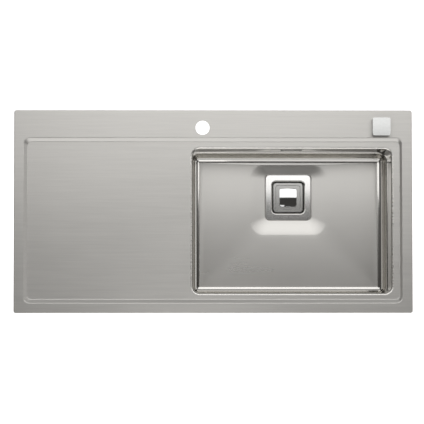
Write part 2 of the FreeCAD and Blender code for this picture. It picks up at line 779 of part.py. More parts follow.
def bowl_front_pad():
    """Damping pad on the front wall of the bowl."""
    face = BOWL_Y - BOWL_WIDTH / 2 - SHEET
    reach = BOWL_LENGTH / 2 - BOWL_PAD_END_GAP
    top = DECK_TOP - BOWL_PAD_DROP
    return block(
        (BOWL_X - reach, BOWL_X + reach),
        (face - PAD_THICKNESS, face),
        (top - BOWL_PAD_HEIGHT, top),
    )


def earth_tag():
    """Welded tab with a hole for the bonding wire's screw."""
    half = EARTH_TAG_WIDTH / 2
    y_leg = BACK_EDGE - EARTH_TAG_FROM_BACK
    tag_under = DECK_UNDER - EARTH_TAG_DROP
    span = (EARTH_TAG_X - half, EARTH_TAG_X + half)
    foot = block(span, (y_leg - EARTH_TAG_FOOT, y_leg), (DECK_UNDER - SHEET, DECK_UNDER))
    leg = block(span, (y_leg - SHEET, y_leg), (tag_under, DECK_UNDER))
    hole_at = V(EARTH_TAG_X, y_leg - SHEET, tag_under + half)
    return joined(foot, leg).cut(rod(hole_at, TO_BACK, SHEET, EARTH_HOLE_RADIUS))


# ---- Overflow ---------------------------------------------------------------------------------
def upright_plate(y_near, y_far, margin):
    """Plate against the bowl's back wall, larger than the cover plate by a margin."""
    half_length = OVERFLOW_PLATE_LENGTH / 2 + margin
    half_height = OVERFLOW_PLATE_HEIGHT / 2 + margin
    plate = block(
        (BOWL_X - half_length, BOWL_X + half_length),
        (y_near, y_far),
        (OVERFLOW_Z - half_height, OVERFLOW_Z + half_height),
    )
    upright = [
        edge
        for edge in plate.Edges
        if abs(edge.tangentAt(edge.FirstParameter).y) > 0.999
    ]
    return plate.makeFillet(OVERFLOW_CORNER, upright)


def overflow_plate():
    """Cover plate with the slot that shows inside the bowl."""
    near = BOWL_BACK - OVERFLOW_PLATE_THICKNESS
    plate = upright_plate(near, BOWL_BACK, 0)
    return plate.cut([overflow_opening(near, BOWL_BACK), *overflow_screw_holes()])


def overflow_gasket():
    """Rubber between the wall and the elbow's flange."""
    near = BOWL_BACK + SHEET
    far = near + OVERFLOW_GASKET
    gasket = upright_plate(near, far, OVERFLOW_FLANGE_MARGIN)
    return gasket.cut([overflow_opening(near, far), *overflow_screw_holes()])


def overflow_back():
    """Where the elbow's duct starts behind its flange."""
    return BOWL_BACK + SHEET + OVERFLOW_GASKET + OVERFLOW_FLANGE


def hose_y():
    """Middle of the downward spigot, behind the bowl."""
    return overflow_back() + OVERFLOW_DUCT_DEPTH / 2


def elbow_under():
    """Level of the elbow duct's underside, where its spigot starts."""
    return OVERFLOW_Z - OVERFLOW_PLATE_HEIGHT / 2 - OVERFLOW_WALL


def overflow_elbow():
    """Plastic housing that turns the overflow down into the hose."""
    near = BOWL_BACK + SHEET + OVERFLOW_GASKET
    back = overflow_back()
    far = back + OVERFLOW_DUCT_DEPTH
    flange = upright_plate(near, back, OVERFLOW_FLANGE_MARGIN)
    half_length = OVERFLOW_SLOT_LENGTH / 2 + OVERFLOW_WALL
    top = OVERFLOW_Z + OVERFLOW_PLATE_HEIGHT / 2
    under = elbow_under()
    duct = block((BOWL_X - half_length, BOWL_X + half_length), (back, far), (under, top))
    spigot = post(BOWL_X, hose_y(), under - SPIGOT_LENGTH, under, SPIGOT_RADIUS)
    cavity = block(
        (BOWL_X - half_length + OVERFLOW_WALL, BOWL_X + half_length - OVERFLOW_WALL),
        (back, far - OVERFLOW_WALL),
        (under + OVERFLOW_WALL, top - OVERFLOW_WALL),
    )
    bore = post(BOWL_X, hose_y(), under - SPIGOT_LENGTH, under + OVERFLOW_WALL, SPIGOT_BORE)
    solid = joined(flange, duct, spigot)
    return solid.cut([cavity, bore, overflow_opening(near, back), *overflow_screw_holes()])


def overflow_screws():
    """Two screws that pull the cover plate and the elbow together."""
    length = OVERFLOW_PLATE_THICKNESS + SHEET + OVERFLOW_GASKET + OVERFLOW_FLANGE
    screws = []
    for place in overflow_screw_places():
        shank = rod(place, TO_BACK, length, OVERFLOW_SCREW_RADIUS)
        head = rod(place, -TO_BACK, OVERFLOW_PLATE_THICKNESS, OVERFLOW_SCREW_HEAD)
        screws.append(joined(shank, head))
    return Part.makeCompound(screws)


def overflow_hose():
    """Hose from the elbow's spigot down and forward to the waste body's inlet."""
    top = V(BOWL_X, hose_y(), elbow_under())
    corner = V(BOWL_X, hose_y(), INLET_Z)
    end = inlet_start()
    share = HOSE_BEND / (corner - end).Length
    return hose(route([top, corner, end], share), HOSE_RADIUS, HOSE_BORE)


def hose_clamps():
    """Bands that grip the hose on its two spigots."""
    middle = (SPIGOT_LENGTH - CLAMP_WIDTH) / 2
    upper = V(BOWL_X, hose_y(), elbow_under() - SPIGOT_LENGTH + middle)
    lower = inlet_start() + TO_BACK * middle
    bands = []
    for start, direction, lug_side in ((upper, UP, TO_BACK), (lower, TO_BACK, -UP)):
        band = rod(start, direction, CLAMP_WIDTH, HOSE_RADIUS + CLAMP_WALL)
        lug_start = start + direction * (CLAMP_WIDTH / 2)
        lug_radius = CLAMP_WIDTH / 2 - CLAMP_WALL
        lug = rod(lug_start, lug_side, HOSE_RADIUS + 2 * lug_radius, lug_radius)
        opening = rod(start, direction, CLAMP_WIDTH, HOSE_RADIUS)
        bands.append(joined(band, lug).cut(opening))
    return Part.makeCompound(bands)


# ---- Waste ------------------------------------------------------------------------------------
def waste_flange():
    """Flat square flange bent down into a cup with the plug's seat and a grated floor."""
    sheet = FLANGE_SHEET
    plate = prism(FLANGE, FLOOR_LOW - sheet, FLOOR_LOW)
    cup = prism(CUP.grow(sheet), SEAT_TOP - sheet, FLOOR_LOW)
    lower = prism(LOWER_CUP.grow(sheet), CUP_UNDER, SEAT_TOP)
    hub = post(WASTE_X, WASTE_Y, CUP_UNDER - HUB_BELOW, CUP_FLOOR + HUB_ABOVE, HUB_RADIUS)
    body = joined(plate, cup, lower)
    body = rounded(body, outline(CUP.grow(sheet), FLOOR_LOW - sheet), FLANGE_BEND - sheet)
    body = body.cut([prism(CUP, SEAT_TOP, FLOOR_LOW), prism(LOWER_CUP, CUP_FLOOR, SEAT_TOP)])
    body = rounded(body, outline(CUP, FLOOR_LOW), FLANGE_BEND)
    body = rounded(body, outline(FLANGE, FLOOR_LOW), sheet / 2)
    body = joined(body, hub)
    cuts = [post(WASTE_X, WASTE_Y, CUP_UNDER - HUB_BELOW, FLOOR_LOW, PIN_RADIUS + SLIDING_PLAY)]
    for side_x, side_y in ((-1, -1), (-1, 1), (1, -1), (1, 1)):
        cell = Plan(
            WASTE_X + side_x * GRATE_OFFSET,
            WASTE_Y + side_y * GRATE_OFFSET,
            GRATE_HOLE,
            GRATE_HOLE,
            GRATE_CORNER,
        )
        cuts.append(prism(cell, CUP_UNDER, CUP_FLOOR))
    cuts += [
        post(x, y, CUP_UNDER, CUP_FLOOR, WASTE_SCREW_RADIUS + SHAFT_PLAY)
        for x, y in waste_screw_places()
    ]
    return body.cut(cuts)


def waste_screw_places():
    """Where the four waste screws stand."""
    reach = WASTE_SCREW_OFFSET
    return [(WASTE_X + sx * reach, WASTE_Y + sy * reach) for sx in (-1, 1) for sy in (-1, 1)]


def waste_screws():
    """Screws that pull the body up to the flange's cup."""
    screws = []
    for x, y in waste_screw_places():
        shank = post(x, y, CUP_FLOOR - WASTE_SCREW_LENGTH, CUP_FLOOR, WASTE_SCREW_RADIUS)
        head_top = CUP_FLOOR + WASTE_SCREW_HEAD_HEIGHT
        head = post(x, y, CUP_FLOOR, head_top, WASTE_SCREW_HEAD)
        drive_low = V(x, y, head_top - WASTE_SCREW_DRIVE_DEPTH)
        drive = hexagon(drive_low, UP, WASTE_SCREW_DRIVE_DEPTH, WASTE_SCREW_HEAD)
        screws.append(joined(shank, head).cut(drive))
    return Part.makeCompound(screws)


def flange_seal():
    """Square rubber ring between the flange and the ledge of the well."""
    ring = prism(FLANGE, LEDGE_TOP, FLOOR_LOW - FLANGE_SHEET)
    return ring.cut(prism(CUP.grow(FLANGE_BEND), LEDGE_TOP, FLOOR_LOW - FLANGE_SHEET))


def body_gasket():
    """Flat rubber between the bowl's ledge and the body's rim."""
    rim = waste_plan(BODY_RIM_SIDE, WELL_CORNER)
    return prism(rim, BODY_TOP, LEDGE_UNDER).cut(prism(WELL_HOLE, BODY_TOP, LEDGE_UNDER))


def waste_body():
    """Plastic body: rim, neck, chamber with its screw pillars and the boss for the lever's shaft."""
    rim = prism(waste_plan(BODY_RIM_SIDE, WELL_CORNER), BODY_TOP - BODY_RIM_HEIGHT, BODY_TOP)
    neck_under = SEAT_TOP - FLANGE_SHEET - CUP_PLAY - BODY_WALL
    neck = prism(WELL_HOLE.grow(BODY_WALL), neck_under, BODY_TOP)
    chamber = prism(BODY.grow(BODY_WALL), BODY_UNDER, BODY_TOP)
    boss_start = V(WASTE_X + BODY_SIDE / 2, SHAFT_Y, SHAFT_Z)
    boss = rod(boss_start, TO_RIGHT, BODY_WALL + BOSS_LENGTH, BOSS_RADIUS)
    solid = joined(rim, neck, chamber, boss)
    cuts = [
        prism(WELL_HOLE, neck_under + BODY_WALL, BODY_TOP),
        prism(BODY, BODY_FLOOR, BODY_TOP),
        post(WASTE_X, WASTE_Y, BODY_UNDER, BODY_FLOOR, OUTLET_BORE),
        rod(V(WASTE_X, WASTE_Y + BODY_SIDE / 2, INLET_Z), TO_BACK, BODY_WALL, SPIGOT_BORE),
        rod(boss_start, TO_RIGHT, BODY_WALL + BOSS_LENGTH, SHAFT_RADIUS + SHAFT_PLAY),
    ]
    solid = solid.cut(cuts)
    pillars = [post(x, y, BODY_FLOOR, CUP_UNDER, WASTE_POST_RADIUS) for x, y in waste_screw_places()]
    holes = [
        post(x, y, CUP_FLOOR - WASTE_SCREW_LENGTH, CUP_UNDER, WASTE_SCREW_RADIUS + SHAFT_PLAY)
        for x, y in waste_screw_places()
    ]
    return joined(solid, *pillars).cut(holes)


def outlet_tail():
    """Round tail welded under the body, for the trap's nut."""
    low = BODY_UNDER - OUTLET_LENGTH
    wall = post(WASTE_X, WASTE_Y, low, BODY_UNDER, OUTLET_RADIUS)
    return wall.cut(post(WASTE_X, WASTE_Y, low, BODY_UNDER, OUTLET_BORE))


def inlet_start():
    """Where the overflow's water enters the body, on the outside of its wall."""
    return V(WASTE_X, WASTE_Y + BODY_SIDE / 2 + BODY_WALL, INLET_Z)


def inlet_spigot():
    """Spigot welded on the body's back wall, for the overflow hose."""
    wall = rod(inlet_start(), TO_BACK, SPIGOT_LENGTH, SPIGOT_RADIUS)
    return wall.cut(rod(inlet_start(), TO_BACK, SPIGOT_LENGTH, SPIGOT_BORE))


# ---- Plug -------------------------------------------------------------------------------------
def plug_cap():
    """Square cap with a shallow dish on top and a hollow below."""
    cap = rounded(prism(PLUG, PLUG_UNDER, PLUG_TOP), outline(PLUG, PLUG_TOP), PLUG_EDGE_RADIUS)
    dish = waste_plan(PLUG_DISH_SIDE, PLUG_DISH_CORNER)
    dish_floor = PLUG_TOP - PLUG_DISH_DEPTH
    cap = cap.cut(prism(dish, dish_floor, PLUG_TOP))
    cap = rounded(cap, outline(dish, PLUG_TOP), PLUG_EDGE_RADIUS)
    hollow_top = dish_floor - PLUG_WALL
    cap = cap.cut(prism(PLUG.grow(-2 * PLUG_WALL), PLUG_UNDER, hollow_top))
    boss = post(WASTE_X, WASTE_Y, PLUG_UNDER, hollow_top, PLUG_POST_RADIUS)
    return joined(cap, boss).cut(plug_screw_hole(PLUG_UNDER, dish_floor))


def plug_screw_hole(z_low, z_high):
    """Clearance for the plug's screw."""
    return post(WASTE_X, WASTE_Y, z_low, z_high, PLUG_SCREW_RADIUS + SHAFT_PLAY)


def handle_screw_end():
    """Level inside the handle that the screw from below reaches."""
    return PLUG_TOP - PLUG_DISH_DEPTH + HANDLE_SCREW_DEPTH


def plug_handle():
    """Square grip whose top is crowned to all four sides."""
    plan = Plan(WASTE_X, WASTE_Y, HANDLE_LENGTH, HANDLE_WIDTH, HANDLE_CORNER)
    base = PLUG_TOP - PLUG_DISH_DEPTH
    top = base + HANDLE_HEIGHT
    crown = Part.makeSphere(HANDLE_CROWN_RADIUS, V(WASTE_X, WASTE_Y, top - HANDLE_CROWN_RADIUS))
    grip = prism(plan, base, top).common(crown)
    brow = [
        edge
        for face in grip.Faces
        if isinstance(face.Surface, Part.Sphere)
        for edge in face.Edges
        if not edge.isSeam(face) and not edge.Degenerated
    ]
    grip = grip.makeFillet(HANDLE_EDGE_RADIUS, brow)
    return grip.cut(plug_screw_hole(base, handle_screw_end()))


def plug_seal():
    """Square rubber ring that closes on the cup's seat."""
    outer = PLUG.grow(-PLUG_SEAL_INSET)
    low = SEAT_TOP + PLUG_SEAL_PLAY
    return prism(outer, low, BASKET_TOP).cut(prism(BASKET, low, BASKET_TOP))


def strainer_basket():
    """Slotted basket under the cap, with the post that takes the screw."""
    sheet = BASKET_SHEET
    brim_top = PLUG_UNDER
    brim = prism(PLUG.grow(-PLUG_SEAL_INSET), BASKET_TOP, brim_top)
    walls = prism(BASKET, BASKET_UNDER, BASKET_TOP)
    inside = prism(BASKET.grow(-sheet), BASKET_UNDER + sheet, brim_top)
    basket = joined(brim, walls).cut(inside)
    half = BASKET_SIDE / 2
    z_span = (BASKET_UNDER + BASKET_SLOT_MARGIN, BASKET_TOP - BASKET_SLOT_MARGIN)
    slots = []
    for number in range(BASKET_SLOTS):
        middle = (number - (BASKET_SLOTS - 1) / 2) * BASKET_SLOT_PITCH
        span = (middle - BASKET_SLOT_WIDTH / 2, middle + BASKET_SLOT_WIDTH / 2)
        across_x = (WASTE_X + span[0], WASTE_X + span[1])
        across_y = (WASTE_Y + span[0], WASTE_Y + span[1])
        slots.append(block(across_x, (WASTE_Y - half, WASTE_Y + half), z_span))
        slots.append(block((WASTE_X - half, WASTE_X + half), across_y, z_span))
        if abs(middle) > PLUG_SCREW_HEAD + BASKET_SLOT_WIDTH:
            reach = half - BASKET_CORNER
            floor_span = (BASKET_UNDER, BASKET_UNDER + sheet)
            slots.append(block(across_x, (WASTE_Y - reach, WASTE_Y + reach), floor_span))
    core = post(WASTE_X, WASTE_Y, BASKET_UNDER, brim_top, PLUG_POST_RADIUS)
    return joined(basket.cut(slots), core).cut(plug_screw_hole(BASKET_UNDER, brim_top))


def plug_screw():
    """Screw from below that holds basket, cap and handle together."""
    shank = post(WASTE_X, WASTE_Y, BASKET_UNDER, handle_screw_end(), PLUG_SCREW_RADIUS)
    head = post(WASTE_X, WASTE_Y, PIN_TOP, BASKET_UNDER, PLUG_SCREW_HEAD)
    return joined(shank, head)


# ---- Lever ------------------------------------------------------------------------------------
def lifter_pin():
    """Round-ended pin in the grate's hub that pushes the plug up."""
    shank = post(WASTE_X, WASTE_Y, PIN_UNDER + PIN_RADIUS, PIN_TOP, PIN_RADIUS)
    dome = Part.makeSphere(PIN_RADIUS, V(WASTE_X, WASTE_Y, PIN_UNDER + PIN_RADIUS))
    return joined(shank, dome)


def swing(u, z_drop, angle):
    """A point at (reach, drop) from the shaft, turned by an angle about it."""
    turn = math.radians(angle)
    y = SHAFT_Y + u * math.cos(turn) - z_drop * math.sin(turn)
    z = SHAFT_Z + u * math.sin(turn) + z_drop * math.cos(turn)
    return y, z


def rocking_arm(x_low, x_high, hub_radius, tip, tip_radius, web_half):
    """Flat arm from the shaft to a tip: hub, round tip and the web between."""
    width = x_high - x_low
    hub = rod(V(x_low, SHAFT_Y, SHAFT_Z), TO_RIGHT, width, hub_radius)
    end = rod(V(x_low, *tip), TO_RIGHT, width, tip_radius)
    along = V(0, tip[0] - SHAFT_Y, tip[1] - SHAFT_Z).normalize()
    across = TO_RIGHT.cross(along) * web_half
    centre = V(x_low, SHAFT_Y, SHAFT_Z)
    far = V(x_low, *tip)
    corners = [centre + across, far + across, far - across, centre - across]
    web = Part.Face(Part.makePolygon(corners + corners[:1])).extrude(TO_RIGHT * width)
    return joined(hub, end, web)


def lift_finger():
    """Finger inside the body that bears on the pin."""
    tip = swing(FINGER_REACH, 0, -ROCK_ANGLE / 2)
    x_low = WASTE_X - FINGER_WIDTH / 2
    x_high = x_low + FINGER_WIDTH
    arm = rocking_arm(
        x_low, x_high, FINGER_HUB_RADIUS, tip, FINGER_TIP_RADIUS, FINGER_WEB_HALF
    )
    return arm.cut(rod(V(x_low, SHAFT_Y, SHAFT_Z), TO_RIGHT, FINGER_WIDTH, SHAFT_RADIUS))


def lever_shaft():
    """Shaft through the body's side, with the finger inside and the crank outside."""
    start = WASTE_X - FINGER_WIDTH / 2
    length = CRANK_X + CRANK_THICKNESS - start
    return rod(V(start, SHAFT_Y, SHAFT_Z), TO_RIGHT, length, SHAFT_RADIUS)


def crank_arm():
    """Arm outside the body with a long hole for the wire's nipple."""
    tip = swing(0, -CRANK_DROP, -ROCK_ANGLE / 2)
    x_high = CRANK_X + CRANK_THICKNESS
    half = CRANK_HALF_WIDTH
    arm = rocking_arm(CRANK_X, x_high, CRANK_HUB_RADIUS, tip, half, half)
    hole_radius = NIPPLE_RADIUS + CRANK_SLOT_PLAY
    middle_reach = (CRANK_DROP + CRANK_DROP / math.cos(HALF_ROCK)) / 2
    near = swing(0, -middle_reach + CRANK_SLOT_HALF_LENGTH, -ROCK_ANGLE / 2)
    far = swing(0, -middle_reach - CRANK_SLOT_HALF_LENGTH, -ROCK_ANGLE / 2)
    tip_cap = rod(V(CRANK_X, *far), TO_RIGHT, CRANK_THICKNESS, half)
    cuts = [
        rod(V(CRANK_X, SHAFT_Y, SHAFT_Z), TO_RIGHT, CRANK_THICKNESS, SHAFT_RADIUS),
        rod(V(CRANK_X, *near), TO_RIGHT, CRANK_THICKNESS, hole_radius),
        rod(V(CRANK_X, *far), TO_RIGHT, CRANK_THICKNESS, hole_radius),
        slot_middle(near, far, hole_radius),
    ]
    return joined(arm, tip_cap).cut(cuts)


def slot_middle(near, far, radius):
    """The straight part of the crank's long hole."""
    start = V(CRANK_X, *near)
    end = V(CRANK_X, *far)
    across = TO_RIGHT.cross((end - start).normalize()) * radius
    corners = [start + across, end + across, end - across, start - across]
    return Part.Face(Part.makePolygon(corners + corners[:1])).extrude(TO_RIGHT * CRANK_THICKNESS)


def shaft_seal():
    """Rubber ring pressed on the shaft by the gland nut."""
    start = V(BODY_SIDE_X + BOSS_LENGTH, SHAFT_Y, SHAFT_Z)
    ring = rod(start, TO_RIGHT, SHAFT_SEAL_WIDTH, SHAFT_SEAL_RADIUS)
    return ring.cut(rod(start, TO_RIGHT, SHAFT_SEAL_WIDTH, SHAFT_RADIUS + SHAFT_PLAY))


def gland_nut():
    """Nut on the boss that holds the cable bracket and the shaft seal."""
    start = V(GLAND_X, SHAFT_Y, SHAFT_Z)
    nut = hexagon(start, TO_RIGHT, GLAND_LENGTH, GLAND_ACROSS_FLATS)
    thread = rod(start, TO_RIGHT, GLAND_LENGTH - GLAND_WALL, BOSS_RADIUS)
    return nut.cut([thread, rod(start, TO_RIGHT, GLAND_LENGTH, SHAFT_RADIUS + SHAFT_PLAY)])


# ---- Cable ------------------------------------------------------------------------------------
def cable_bracket():
    """Bent plate on the boss that holds the end of the cable's sheath."""
    half = BRACKET_HALF_HEIGHT
    low = WIRE_Z - FERRULE_NUT_ACROSS_FLATS
    y_far = BRACKET_Y + BRACKET_SHEET
    side = block(
        (BODY_SIDE_X, BODY_SIDE_X + BRACKET_SHEET),
        (SHAFT_Y - half, y_far),
        (low, SHAFT_Z + half),
    )
    end_wall = block(
        (BODY_SIDE_X, BODY_SIDE_X + BRACKET_WIDTH), (BRACKET_Y, y_far), (low, SHAFT_Z)
    )
    boss_hole = rod(V(BODY_SIDE_X, SHAFT_Y, SHAFT_Z), TO_RIGHT, BRACKET_SHEET, BOSS_RADIUS + SHAFT_PLAY)
    cable_hole = rod(
        V(WIRE_X, BRACKET_Y, WIRE_Z), TO_BACK, BRACKET_SHEET, FERRULE_RADIUS + SHAFT_PLAY
    )
    return joined(side, end_wall).cut([boss_hole, cable_hole])


def cable_adjuster():
    """Threaded ferrule through the bracket with a nut on each side."""
    start = BRACKET_Y - FERRULE_NUT_HEIGHT - FERRULE_TIP
    barrel = rod(V(WIRE_X, start, WIRE_Z), TO_BACK, FERRULE_LENGTH, FERRULE_RADIUS)
    front_nut = hexagon(
        V(WIRE_X, BRACKET_Y - FERRULE_NUT_HEIGHT, WIRE_Z),
        TO_BACK,
        FERRULE_NUT_HEIGHT,
        FERRULE_NUT_ACROSS_FLATS,
    )
    back_nut = hexagon(
        V(WIRE_X, BRACKET_Y + BRACKET_SHEET, WIRE_Z),
        TO_BACK,
        FERRULE_NUT_HEIGHT,
        FERRULE_NUT_ACROSS_FLATS,
    )
    socket = rod(V(WIRE_X, SHEATH_END_Y, WIRE_Z), TO_BACK, FERRULE_LENGTH, SHEATH_RADIUS + SHEATH_PLAY)
    wire_way = rod(V(WIRE_X, start, WIRE_Z), TO_BACK, FERRULE_LENGTH, SHEATH_BORE)
    return joined(barrel, front_nut, back_nut).cut([socket, wire_way])


def cable_sheath():
    """Sheath from the control housing, down behind the bowl and under it to the bracket."""
    behind = BOWL_BACK + ROUTE_BEHIND_BOWL
    turn_down = V(SHEATH_START_X - ROUTE_FIRST_RUN, DRUM_WIRE_Y, DRUM_MIDDLE)
    points = [
        V(SHEATH_START_X, DRUM_WIRE_Y, DRUM_MIDDLE),
        turn_down,
        V(WIRE_X + ROUTE_MIDDLE_OUT, (DRUM_WIRE_Y + behind) / 2, DRUM_MIDDLE - ROUTE_MIDDLE_DROP),
        V(WIRE_X, behind, WIRE_Z),
        V(WIRE_X, SHEATH_END_Y, WIRE_Z),
    ]
    return hose(route(points, ROUTE_SHARE), SHEATH_RADIUS, SHEATH_BORE)


def inner_wire():
    """The wire's stretch between the nipple and the sheath, and what slides in the sheath."""
    start = NIPPLE_Y - WIRE_TAIL
    length = SHEATH_END_Y + WIRE_IN_SHEATH - start
    return rod(V(WIRE_X, start, WIRE_Z), TO_BACK, length, WIRE_RADIUS)


def wire_nipple():
    """Barrel that joins the wire to the crank."""
    start = WIRE_X + NIPPLE_RADIUS - NIPPLE_LENGTH
    barrel = rod(V(start, NIPPLE_Y, WIRE_Z), TO_RIGHT, NIPPLE_LENGTH, NIPPLE_RADIUS)
    wire_way = rod(
        V(WIRE_X, NIPPLE_Y - NIPPLE_RADIUS, WIRE_Z), TO_BACK, 2 * NIPPLE_RADIUS, WIRE_RADIUS
    )
    return barrel.cut(wire_way)


# ---- Control under the knob -------------------------------------------------------------------
def control_housing():
    """Housing below the deck: flange, threaded neck, drum chamber and the cable's socket."""
    neck_top = DECK_TOP + NECK_ABOVE_DECK
    lug_top = CHAMBER_UNDER + LID_LUG_HEIGHT
    flange = post(KNOB_X, KNOB_Y, CONTROL_TOP - CONTROL_FLANGE, CONTROL_TOP, CONTROL_FLANGE_RADIUS)
    neck = post(KNOB_X, KNOB_Y, CONTROL_TOP, neck_top, NECK_RADIUS)
    drum_case = post(KNOB_X, KNOB_Y, CHAMBER_UNDER, CONTROL_TOP, CONTROL_RADIUS)
    lugs = [
        post(KNOB_X + side * LID_LUG_X, KNOB_Y, CHAMBER_UNDER, lug_top, LID_LUG_RADIUS)
        for side in (-1, 1)
    ]
    socket_end = V(SHEATH_START_X - CABLE_SOCKET_LENGTH, DRUM_WIRE_Y, DRUM_MIDDLE)
    socket_reach = CABLE_SOCKET_LENGTH + CONTROL_WALL
    socket = rod(socket_end, TO_RIGHT, socket_reach, CABLE_SOCKET_RADIUS)
    solid = joined(flange, neck, drum_case, socket, *lugs)
    cuts = [
        post(KNOB_X, KNOB_Y, CHAMBER_UNDER, CHAMBER_TOP, CONTROL_BORE),
        post(KNOB_X, KNOB_Y, CHAMBER_TOP, neck_top, SPINDLE_RADIUS + SHAFT_PLAY),
        rod(socket_end, TO_RIGHT, CABLE_SOCKET_LENGTH, SHEATH_RADIUS + SHEATH_PLAY),
        rod(socket_end, TO_RIGHT, KNOB_X - socket_end.x, SHEATH_BORE),
    ]
    return solid.cut(cuts + lid_screw_holes(CHAMBER_UNDER, CHAMBER_UNDER + LID_LUG_HEIGHT / 2))


def lid_screw_holes(z_low, z_high):
    """Holes for the two lid screws."""
    return [
        post(KNOB_X + side * LID_LUG_X, KNOB_Y, z_low, z_high, LID_SCREW_RADIUS + SHAFT_PLAY)
        for side in (-1, 1)
    ]


def housing_lid():
    """Lid that closes the drum chamber and carries the spindle's lower end."""
    under = CHAMBER_UNDER - LID_THICKNESS
    disc = post(KNOB_X, KNOB_Y, under, CHAMBER_UNDER, CONTROL_RADIUS)
    ears = [
        post(KNOB_X + side * LID_LUG_X, KNOB_Y, under, CHAMBER_UNDER, LID_LUG_RADIUS)
        for side in (-1, 1)
    ]
    bearing = post(KNOB_X, KNOB_Y, under, CHAMBER_UNDER, SPINDLE_RADIUS + SHAFT_PLAY)
    return joined(disc, *ears).cut([bearing, *lid_screw_holes(under, CHAMBER_UNDER)])


def lid_screws():
    """Two screws that hold the lid."""
    under = CHAMBER_UNDER - LID_THICKNESS
    screws = []
    for side in (-1, 1):
        x = KNOB_X + side * LID_LUG_X
        shank = post(x, KNOB_Y, under, CHAMBER_UNDER + LID_LUG_HEIGHT / 2, LID_SCREW_RADIUS)
        head = post(x, KNOB_Y, under - LID_SCREW_HEAD_HEIGHT, under, LID_SCREW_HEAD)
        screws.append(joined(shank, head))
    return Part.makeCompound(screws)


def cable_drum():
    """Drum on the spindle that winds the wire in its groove."""
    groove_radius = DRUM_PITCH_RADIUS - WIRE_RADIUS
    drum = post(KNOB_X, KNOB_Y, DRUM_UNDER, DRUM_TOP, DRUM_RADIUS)
    groove_low = DRUM_MIDDLE - DRUM_GROOVE / 2
    groove_high = DRUM_MIDDLE + DRUM_GROOVE / 2
    ring = post(KNOB_X, KNOB_Y, groove_low, groove_high, DRUM_RADIUS)
    ring = ring.cut(post(KNOB_X, KNOB_Y, groove_low, groove_high, groove_radius))
    return drum.cut([ring, post(KNOB_X, KNOB_Y, DRUM_UNDER, DRUM_TOP, SPINDLE_RADIUS)])


def knob_spindle():
    """Spindle from the lid's bearing up into the knob."""
    top = knob_socket_under() + SPINDLE_IN_KNOB
    return post(KNOB_X, KNOB_Y, CHAMBER_UNDER - LID_THICKNESS, top, SPINDLE_RADIUS)


def knob_socket_under():
    """Lower end of the socket inside the knob, just above the neck."""
    return DECK_TOP + NECK_ABOVE_DECK + KNOB_GAP


def knob():
    """Square hollow knob with a socket for the spindle."""
    plan = Plan(KNOB_X, KNOB_Y, KNOB_SIDE, KNOB_SIDE, KNOB_CORNER)
    shell = rounded(prism(plan, KNOB_UNDER, KNOB_TOP), outline(plan, KNOB_TOP), KNOB_EDGE_RADIUS)
    shell = shell.cut(prism(plan.grow(-KNOB_WALL), KNOB_UNDER, KNOB_TOP - KNOB_WALL))
    socket = post(KNOB_X, KNOB_Y, knob_socket_under(), KNOB_TOP - KNOB_WALL, KNOB_SOCKET_RADIUS)
    bore_top = knob_socket_under() + SPINDLE_IN_KNOB
    bore = post(KNOB_X, KNOB_Y, knob_socket_under(), bore_top, SPINDLE_RADIUS)
    return joined(shell, socket).cut(bore)


def ring_round_neck(z_low, z_high, radius):
    """Ring round the control's neck."""
    ring = post(KNOB_X, KNOB_Y, z_low, z_high, radius)
    return ring.cut(post(KNOB_X, KNOB_Y, z_low, z_high, NECK_RADIUS))


def control_nut():
    """Round nut with two flats, under the knob, that clamps the control to the deck."""
    low = DECK_TOP + CONTROL_WASHER
    nut = ring_round_neck(low, low + TOP_NUT_HEIGHT, TOP_NUT_RADIUS)
    flat = TOP_NUT_RADIUS - TOP_NUT_FLAT_DEPTH
    for side in (-1, 1):
        nut = nut.cut(
            block(
                (KNOB_X - TOP_NUT_RADIUS, KNOB_X + TOP_NUT_RADIUS),
                (KNOB_Y + side * flat, KNOB_Y + side * TOP_NUT_RADIUS),
                (low, low + TOP_NUT_HEIGHT),
            )
        )
    return nut


